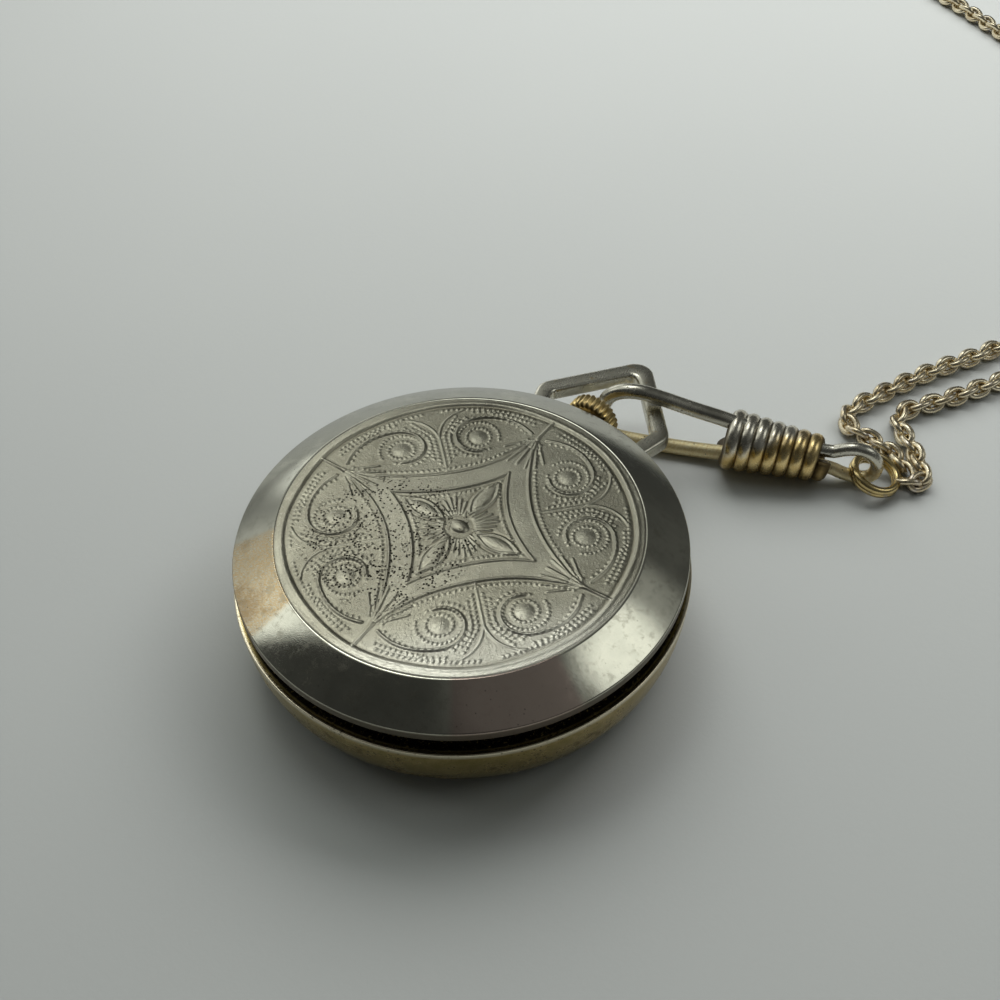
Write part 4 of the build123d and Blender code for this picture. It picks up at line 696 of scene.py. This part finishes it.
clasp_finish = Finish("worn_clasp_wire", Metallic=1.0)
pz = clasp_finish.place.parts()[2]
clouds = clasp_finish.place.grain(0.7, 4.0, 0.6)
scratches = clasp_finish.place.grain(6.0, 3.0, 0.7, (1, 0.3, 1))
gold_side = (pz + clouds * 0.8).rise(2.6, 1.9)
tint = clouds.rise(0.3, 0.7).between((0.5, 0.475, 0.395), (0.72, 0.69, 0.59))
gold = scratches.rise(0.3, 0.7).between((0.88, 0.72, 0.4), (1.0, 0.9, 0.62))
dirt = clasp_finish.place.specks(2.6, 0.22) * clouds.rise(0.45, 0.6)
tint = (dirt * 0.7).between(gold_side.between(tint, gold), (0.05, 0.035, 0.02))
rough = clouds * 0.2 + scratches * 0.15 + dirt * 0.3 + gold_side * 0.3 + 0.08
clasp_finish.surface(tint, rough, scratches * 0.5 + clouds - dirt, 0.01)
hairpin = middle_line("hairpin", [on_clasp(*p) for p in (
    (12.8, 1.35), (9.5, 0.85), (6.5, 0.62), (4.0, 0.6), (0.8, 0.6), (-0.5, 1.0), (-0.8, 2.4), (-0.6, 4.3),
    (0.3, 5.35), (1.9, 5.72), (3.6, 5.4), (6.0, 4.78), (9.0, 4.18), (12.8, 3.1))])
end_loop = middle_line("end_loop", [on_clasp(*p) for p in (
    (12.8, 1.35), (16.4, 1.2), (17.5, 0.7), (18.6, 0.54), (19.4, 0.65), (19.88, 1.3), (19.88, 2.4),
    (19.2, 3.2), (18.2, 3.4), (17.3, 3.1), (16.3, 2.55), (12.8, 3.05))])
side_on = Vector((-sin(clasp_turn), cos(clasp_turn), 0))
wires = (hairpin, wire_r), (end_loop, loop_wire_r)
verts, faces = gather(drawn_wire(line, r * mm, 20, lean=side_on) for line, r in wires)
clasp_piece = piece("clasp_hairpin", verts, faces, [clasp_finish.material], "clasp", "clasp_wire")

# Its sleeve is a finer wire wound tight round both strands, narrower towards the end loop. The
# winding's cut end sticks out a little at the wide end.
sleeve_from, sleeve_len, sleeve_turns, sleeve_wire = 8.4, 8.1, 7.4, 0.6
sleeve_r, sleeve_z, sleeve_taper, sleeve_starts, steps_a_turn = 1.78, 2.4, 0.62, radians(250), 28
sleeve_line = []
sleeve_places = round(sleeve_turns * steps_a_turn)
for k in range(sleeve_places + 1):
    t = k / sleeve_places
    a = 2 * pi * sleeve_turns * t + sleeve_starts
    r = sleeve_r - sleeve_taper * t - (0.2 * max(0, t - 0.94) / 0.06)
    along = sleeve_from + 0.5 + (sleeve_len - 1.0) * t
    sleeve_line.append(on_clasp(along, sleeve_z - sleeve_taper * t + r * sin(a), -r * cos(a)))
cut_end = sleeve_line[0] + (sleeve_line[0] - sleeve_line[1]) * 1.4 - on_clasp(0.3, 0) + on_clasp(0, 0)
sleeve_line.insert(0, cut_end)
sleeve_finish = Finish("worn_sleeve", Metallic=1.0)
px, py, pz = sleeve_finish.place.parts()
clouds = sleeve_finish.place.grain(0.8, 4.0, 0.6)
scratches = sleeve_finish.place.grain(6.0, 3.0, 0.7)
along = (px - clasp_x) * cos(clasp_turn) + (py - clasp_y) * sin(clasp_turn)
aside = (py - clasp_y) * cos(clasp_turn) - (px - clasp_x) * sin(clasp_turn)
gold_side = ((pz - 2.2) * 0.5 - (along - 12.8) * 0.3 + aside * 0.35 + clouds * 1.6).rise(1.7, 0.9)
narrower = (along - sleeve_from) * 0.077
from_axis = ((pz - sleeve_z + narrower) ** 2.0 + aside * aside) ** 0.5 + narrower
deep = from_axis.rise(2.3, 2.08)
tint = clouds.rise(0.3, 0.7).between((0.56, 0.52, 0.43), (0.82, 0.77, 0.65))
gold = clouds.rise(0.3, 0.7).between((0.62, 0.44, 0.17), (0.92, 0.72, 0.36))
tint = (deep * 0.85).between(gold_side.between(tint, gold), (0.06, 0.04, 0.02))
rough = clouds * 0.2 + scratches * 0.14 + deep * 0.3 + 0.1
sleeve_finish.surface(tint, rough, scratches * 0.4 + clouds, 0.01)
lengthways = Vector((cos(clasp_turn), sin(clasp_turn), 0))
verts, faces = drawn_wire(sleeve_line, sleeve_wire * mm, 14, lean=lengthways)
sleeve_piece = piece("clasp_winding", verts, faces, [sleeve_finish.material], "clasp", "clasp_sleeve")

# Jump ring: thin gold-plated wire wound twice round, threaded through the end loop and the
# chain's ends. It is left springy and isn't soldered.
ring_r, ring_tilt, ring_wire, ring_rise = 1.68, radians(18.7), 0.31, 0.64
ring_turns, ring_steps, ring_starts = 2, 96, radians(100)
outwards = Vector((cos(clasp_turn) * cos(ring_tilt), sin(clasp_turn) * cos(ring_tilt), -sin(ring_tilt)))
ring_up = outwards.cross(side_on)
ring_line = []
for k in range(ring_steps + 1):
    a = 2 * pi * ring_turns * k / ring_steps + ring_starts
    lift = ring_rise * (k / ring_steps - 0.5)
    ring_line.append(ring_middle + (ring_r * (cos(a) * outwards + sin(a) * side_on) + lift * ring_up) * mm)
verts, faces = drawn_wire(ring_line, ring_wire * mm, 10, lean=ring_up)
ring_gold = worn_plate("ring_gold", (0.74, 0.58, 0.28), (0.5, 0.38, 0.17), (0.4, 0.34, 0.24), 0.2)
ring_piece = piece("jump_ring_wire", verts, faces, [ring_gold], "ring", "jump_ring")


# Crystal: a shallow moulded acrylic cap, pressed into the bezel. The table has left hairline
# scratches on it, and a little haze lies near its edge.
def dress(material, *names):
    """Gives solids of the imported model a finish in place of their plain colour."""
    for name in names:
        for slot in nodes[name].material_slots:
            slot.material = material


acrylic = Finish("scratched_acrylic", Metallic=0.0, Transmission_Weight=1.0, IOR=1.49)
px, py = acrylic.place.parts()[:2]
hairlines = acrylic.place.grain(2.2, 5.0, 0.8, (1.0, 0.06, 1.0)).rise(0.6, 0.68) * 0.5
hairlines = hairlines + acrylic.place.grain(2.6, 5.0, 0.8, (0.05, 1.0, 1.0)).rise(0.62, 0.7) * 0.4
haze = ((px * px + py * py) ** 0.5).rise(10.8, 12.6)
tint = haze.between((0.97, 0.98, 0.97), (0.86, 0.87, 0.82))
acrylic.surface(tint, hairlines * 0.3 + haze * 0.12 + 0.02, hairlines * -1.0, 0.004)
dress(acrylic.material, "crystal")

# Dial: a brass disc, silvered and brushed outwards from its middle, with printed numbers and a
# minute track. Two feet hold it to the main plate.
silvered = Finish("silvered_dial", Metallic=1.0)
px, py = silvered.place.parts()[:2]
bearing = py.maths("ARCTAN2", py, px)
ray_values = {"W": bearing, "Scale": 55.0, "Detail": 4.0, "Roughness": 0.7}
rays = bearing.node("TexNoise", {"noise_dimensions": "1D"}, ray_values)
clouds = silvered.place.grain(0.3, 3.0)
out = (px * px + py * py) ** 0.5
aged = out.rise(8.5, 12.6) * clouds.rise(0.4, 0.65)
tint = rays.rise(0.25, 0.75).between((0.62, 0.61, 0.57), (0.82, 0.81, 0.77))
tint = (aged * 0.6).between(tint, (0.6, 0.52, 0.36))
silvered.surface(tint, rays * 0.22 + clouds * 0.1 + aged * 0.12 + 0.16, rays, 0.006)
dress(silvered.material, "dial")


def bar(one, two, wide, z_low, z_high):
    """A thin straight bar between two places, in millimetres."""
    one, two = Vector(one), Vector(two)
    side = Vector((one.y - two.y, two.x - one.x)).normalized() * wide / 2
    corners = (one + side, two + side, two - side, one - side)
    verts = [Vector((*q, z)) * mm for z in (z_low, z_high) for q in corners]
    return verts, [(0, 1, 2, 3), (4, 7, 6, 5), (0, 4, 5, 1), (1, 5, 6, 2), (2, 6, 7, 3), (3, 7, 4, 0)]


def hour_number(hour, size, r, z):
    """A printed number that reads rightly from the crystal's side, upright at its hour."""
    letters = bpy.data.curves.new("hour_number", "FONT")
    letters.body, letters.size, letters.align_x, letters.align_y = str(hour), size, "CENTER", "CENTER"
    bare = bpy.data.objects.new("hour_number", letters)
    flat = bpy.data.meshes.new_from_object(bare)
    bpy.data.objects.remove(bare)
    a = radians(30 * hour)
    verts = [Vector((-r * sin(a) - v.co.x, r * cos(a) + v.co.y, z)) * mm for v in flat.vertices]
    return verts, [tuple(face.vertices) for face in flat.polygons]


ink = Finish("dial_ink", Metallic=0.0)
grain = ink.place.grain(12.0, 3.0, 0.7)
tint = grain.rise(0.35, 0.7).between((0.012, 0.012, 0.014), (0.045, 0.04, 0.038))
ink.surface(tint, grain * 0.2 + 0.3, grain, 0.004)
# the printed face looks down, at a height of 2.75, and the ink lies just off it
ink_low, ink_high, track_r, track_out = 2.73, 2.745, 11.3, 11.36
prints = [hour_number(hour, 2.1, 8.8, 2.738) for hour in range(1, 13)]
for minute in range(60):
    a = radians(6 * minute)
    inner_end, wide = (10.55, 0.16) if minute % 5 == 0 else (10.85, 0.07)
    inner, outer = [(r * sin(a), r * cos(a)) for r in (inner_end, track_r)]
    prints.append(bar(inner, outer, wide, ink_low, ink_high))
track = [(track_r, ink_low), (track_r, ink_high), (track_out, ink_high), (track_out, ink_low)]
prints.append(turned_ring(track, 180))
verts, faces = gather(prints)
piece("dial_print", verts, faces, [ink.material], "case", smooth=False)

# Hands: stamped from thin steel, polished and blued over a flame, and pressed on their pipes.
blued = Finish("blued_steel", Metallic=1.0)
clouds = blued.place.grain(0.7, 3.0, 0.6)
lines_along = blued.place.grain(7.0, 3.0, 0.7, (1.0, 0.08, 1.0))
tint = clouds.rise(0.3, 0.7).between((0.018, 0.035, 0.17), (0.045, 0.09, 0.34))
tint = (lines_along.rise(0.62, 0.75) * 0.4).between(tint, (0.16, 0.12, 0.3))
blued.surface(tint, lines_along * 0.16 + clouds * 0.08 + 0.1, lines_along, 0.003)
dress(blued.material, "hour_hand", "minute_hand", "ratchet_screw", "bridge_screws", "hairspring")

# Movement plates: the main plate is brass, nickel-plated, with rows of small overlapping circles
# ground into it. The other steel and brass pieces stand on it.
spotted = Finish("circle_grained_plate", Metallic=1.0)
clouds = spotted.place.grain(0.35, 3.0)
spots = []
for offset in (0.0, 0.5):
    rows_of_spots = spotted.place * 0.83 + offset
    cell = rows_of_spots.node("VectorMath", {"operation": "FRACTION"}, {0: rows_of_spots})
    cell_x, cell_y = cell.parts()[:2]
    spots.append((((cell_x - 0.5) ** 2.0) + ((cell_y - 0.5) ** 2.0)) ** 0.5)
nearer = spots[0].maths("MINIMUM", spots[0], spots[1])
swirls = nearer.maths("SINE", nearer * 95.0) * 0.5 + 0.5
tint = clouds.rise(0.3, 0.7).between((0.58, 0.56, 0.5), (0.7, 0.68, 0.61))
tint = (nearer.rise(0.3, 0.5) * 0.35).between(tint, (0.42, 0.39, 0.33))
spotted.surface(tint, swirls * 0.12 + nearer * 0.25 + clouds * 0.08 + 0.14, swirls, 0.006)
dress(spotted.material, "main_plate")

# Bridges and cock: nickel-plated brass like the plate, ruled with broad parallel stripes, their
# edges bevelled. They are screwed down over the barrel, the train, the pallets and the balance.
striped = Finish("striped_bridge", Metallic=1.0)
px, py = striped.place.parts()[:2]
clouds = striped.place.grain(0.3, 3.0)
across_stripes = (px * 0.82 + py * 0.57) * 0.625
stripe = across_stripes.maths("FRACT", across_stripes)
ruling = striped.place.grain(9.0, 3.0, 0.75, (0.35, 1.0, 1.0))
tint = stripe.between((0.52, 0.5, 0.45), (0.76, 0.74, 0.67))
tint = (clouds.rise(0.55, 0.7) * 0.3).between(tint, (0.6, 0.52, 0.38))
rough = ruling * 0.16 + stripe * 0.14 + clouds * 0.06 + 0.12
striped.surface(tint, rough, ruling * 0.4 + stripe * 1.4, 0.007)
for name in ("barrel_bridge", "train_bridge", "pallet_bridge", "balance_cock"):
    dress(striped.material, name)
    bevel = nodes[name].modifiers.new("polished_edge", "BEVEL")
    bevel.width, bevel.segments = 0.07 * mm, 2
    bevel.limit_method, bevel.angle_limit = "ANGLE", radians(50)

# Jewels and pallet stones: synthetic ruby, ground and polished, and pressed into the plates or
# set in the fork with shellac. The screws are blued like the hands.
ruby = Finish("ruby", Metallic=0.0, Transmission_Weight=0.55, IOR=1.76, Coat_Weight=0.3)
swirl = ruby.place.grain(2.4, 4.0, 0.6)
flaws = ruby.place.specks(6.0, 0.12)
tint = swirl.rise(0.3, 0.7).between((0.42, 0.012, 0.035), (0.72, 0.03, 0.09))
ruby.surface(flaws.between(tint, (0.9, 0.4, 0.42)), swirl * 0.08 + flaws * 0.2 + 0.03, swirl, 0.002)
dress(ruby.material, "jewels", "pallet_stones")


# Keyless work: stem, pinions, levers and winding wheels are hardened steel, ground flat with a
# straight grain and a little oil on them. They sit in slots and on posts of the main plate.
def ground_steel(name, light, dark, drawn, gloss):
    steel = Finish(name, Metallic=1.0)
    grain = steel.place.grain(8.0, 4.0, 0.75, drawn)
    clouds = steel.place.grain(0.6, 3.0)
    oiled = steel.place.grain(0.8, 2.0).rise(0.58, 0.66)
    tint = grain.rise(0.3, 0.7).between(dark, light)
    tint = (oiled * 0.35).between(tint, (0.42, 0.36, 0.24))
    return steel.surface(tint, grain * 0.18 + clouds * 0.08 - oiled * 0.08 + gloss, grain, 0.004)


keyless_steel = ground_steel("keyless_steel", (0.62, 0.62, 0.62), (0.42, 0.42, 0.43), (1.0, 0.07, 1.0), 0.16)
dress(keyless_steel, "winding_stem", "winding_pinion", "sliding_pinion")
dress(keyless_steel, "yoke", "setting_lever", "setting_wheel")
winding_steel = ground_steel("winding_wheel_steel", (0.7, 0.7, 0.69), (0.5, 0.5, 0.5), (0.6, 0.6, 1.0), 0.1)
dress(winding_steel, "crown_wheel", "ratchet_wheel", "click", "click_spring")

# Barrel: a brass drum and cover, turned and gilt, with a steel arbor through them. The spring is
# a long blue-grey steel strip, coiled and greased.
drum_bright, drum_dull, drum_bare = (0.78, 0.6, 0.28), (0.6, 0.45, 0.2), (0.66, 0.5, 0.26)
drum_gilt = worn_plate("barrel_gilt", drum_bright, drum_dull, drum_bare, 0.2, (1, 1, 0.15), 0.8)
dress(drum_gilt, "barrel_drum", "barrel_cover")
dress(ground_steel("spring_steel", (0.4, 0.43, 0.5), (0.22, 0.24, 0.3), (0.1, 0.1, 1.0), 0.14), "mainspring")
arbor_steel = ground_steel("arbor_steel", (0.68, 0.68, 0.68), (0.5, 0.5, 0.5), (1.0, 1.0, 0.1), 0.1)
dress(arbor_steel, "barrel_arbor", "balance_staff")
dress(arbor_steel, "centre_pinion", "third_pinion", "fourth_pinion", "escape_pinion")

# Train and motion work: brass wheels, stamped, cut and brushed, riveted on pinions of polished
# steel. The escape wheel and the fork are steel, flat-polished.
wheel_brass = Finish("brushed_wheel_brass", Metallic=1.0)
brushing = wheel_brass.place.grain(10.0, 4.0, 0.7, (1.0, 0.1, 1.0))
clouds = wheel_brass.place.grain(0.5, 3.0)
tint = brushing.rise(0.3, 0.7).between((0.56, 0.42, 0.17), (0.76, 0.59, 0.27))
tint = (clouds.rise(0.55, 0.7) * 0.35).between(tint, (0.5, 0.34, 0.14))
wheel_brass.surface(tint, brushing * 0.2 + clouds * 0.1 + 0.12, brushing, 0.004)
dress(wheel_brass.material, "centre_wheel", "third_wheel", "fourth_wheel", "minute_wheel", "hour_wheel")
flat_steel = ground_steel("escapement_steel", (0.74, 0.74, 0.74), (0.58, 0.58, 0.58), (0.4, 1.0, 1.0), 0.07)
dress(flat_steel, "escape_wheel", "pallet_fork", "cannon_pinion", "regulator")

# Balance: a plain gilt brass rim with two arms, poised and burnished bright, and pressed on its
# steel staff. The hairspring's blued steel is under Hands.
rim_bright, rim_dull, rim_bare = (0.84, 0.66, 0.32), (0.7, 0.53, 0.24), (0.6, 0.45, 0.22)
dress(worn_plate("balance_gilt", rim_bright, rim_dull, rim_bare, 0.16, (1, 1, 0.2), 0.85), "balance_wheel")

# Pendant tube and gasket: a turned gilt brass tube pressed into the case, and a black rubber ring
# that seals the crown on it.
tube_bright, tube_dull, tube_bare = (0.72, 0.56, 0.27), (0.45, 0.34, 0.16), (0.5, 0.42, 0.3)
dress(worn_plate("tube_gilt", tube_bright, tube_dull, tube_bare, 0.24, (1, 0.2, 1), 0.62), "pendant_tube")
rubber = Finish("black_rubber", Metallic=0.0)
bloom = rubber.place.grain(5.0, 4.0, 0.7)
bloomed = rubber.place.specks(7.0, 0.2) * 0.5 + bloom.rise(0.55, 0.75) * 0.4
rubber.surface(bloomed.between((0.014, 0.014, 0.014), (0.09, 0.088, 0.084)), bloom * 0.2 + 0.5, bloom, 0.01)
dress(rubber.material, "crown_gasket")


# Table and light: a matt pale grey table, one soft panel beyond the watch, and the room's windows
# as soft bright patches in the world, which the polished slope mirrors.
floor_mesh = bpy.data.meshes.new("table")
floor_mesh.from_pydata([(-3, -3, 0), (3, -3, 0), (3, 3, 0), (-3, 3, 0)], [], [(0, 1, 2, 3)])
table = bpy.data.objects.new("table", floor_mesh)
bpy.context.scene.collection.objects.link(table)
matt = Finish("matt_table", Metallic=0.0)
matt.shader.inputs["Specular IOR Level"].default_value = 0.15
dust = matt.place.grain(2.2, 3.0, 0.7)
smooth = matt.place.grain(0.02, 2.0)
tint = (dust * 0.3 + smooth * 0.7).between((0.42, 0.435, 0.42), (0.46, 0.475, 0.455))
matt.surface(tint, dust * 0.1 + 0.6, dust, 0.01)
floor_mesh.materials.append(matt.material)
room = bpy.data.worlds.new("room")
bpy.context.scene.world = room
room.use_nodes = True
shine = room.node_tree.nodes["Background"]
way = Tone(room.node_tree.nodes.new("ShaderNodeTexCoord").outputs["Generated"])


def towards(direction, wide, soft):
    """1 within so many degrees of a direction, and 0 beyond the soft edge."""
    unit = tuple(Vector(direction).normalized())
    near = way.node("VectorMath", {"operation": "DOT_PRODUCT"}, {0: way, 1: unit}, 1)
    return near.rise(cos(radians(wide + soft)), cos(radians(wide)))


left_window, right_window, lamp_above = (-0.8, -0.05, 0.6), (0.6, 0.38, 0.7), (-0.42, 0.27, 0.87)
# the left window ends sharply towards the camera, where the slope turns dark
bright = towards(left_window, 15, 42) * 0.55 + towards((-0.8, -0.25, 0.54), 6, 12) * 0.7
bright = bright * way.parts()[1].rise(-0.345, -0.32)
bright = bright + towards(right_window, 3, 16) * towards(right_window, 14.5, 2.5) * 1.25
bright = bright + towards((-0.8, 0.55, 0.15), 10, 8) * 1.1 + towards((0.45, -0.1, 0.9), 14, 16) * 0.07
bright = bright + towards(lamp_above, 6, 7) * 3.4 + towards((0.5, 0.66, 0.58), 5, 9) * 0.22
bright = bright + 0.075 - towards((0.0, -0.6, 0.7), 30, 30) * 0.035
room.node_tree.links.new(bright.socket, shine.inputs["Strength"])
shine.inputs["Color"].default_value = (0.96, 1.0, 0.97, 1)
panel = bpy.data.lights.new("far_panel", "AREA")
panel.shape, panel.energy, panel.size, panel.size_y = "RECTANGLE", 0.36, 0.24, 0.12
panel_object = bpy.data.objects.new("far_panel", panel)
panel_object.visible_glossy = False
panel_at = Vector((-0.032, 0.125, 0.115))
facing_watch = panel_at.to_track_quat("Z", "Y").to_matrix().to_4x4()
panel_object.matrix_world = Matrix.Translation(panel_at) @ facing_watch
bpy.context.scene.collection.objects.link(panel_object)
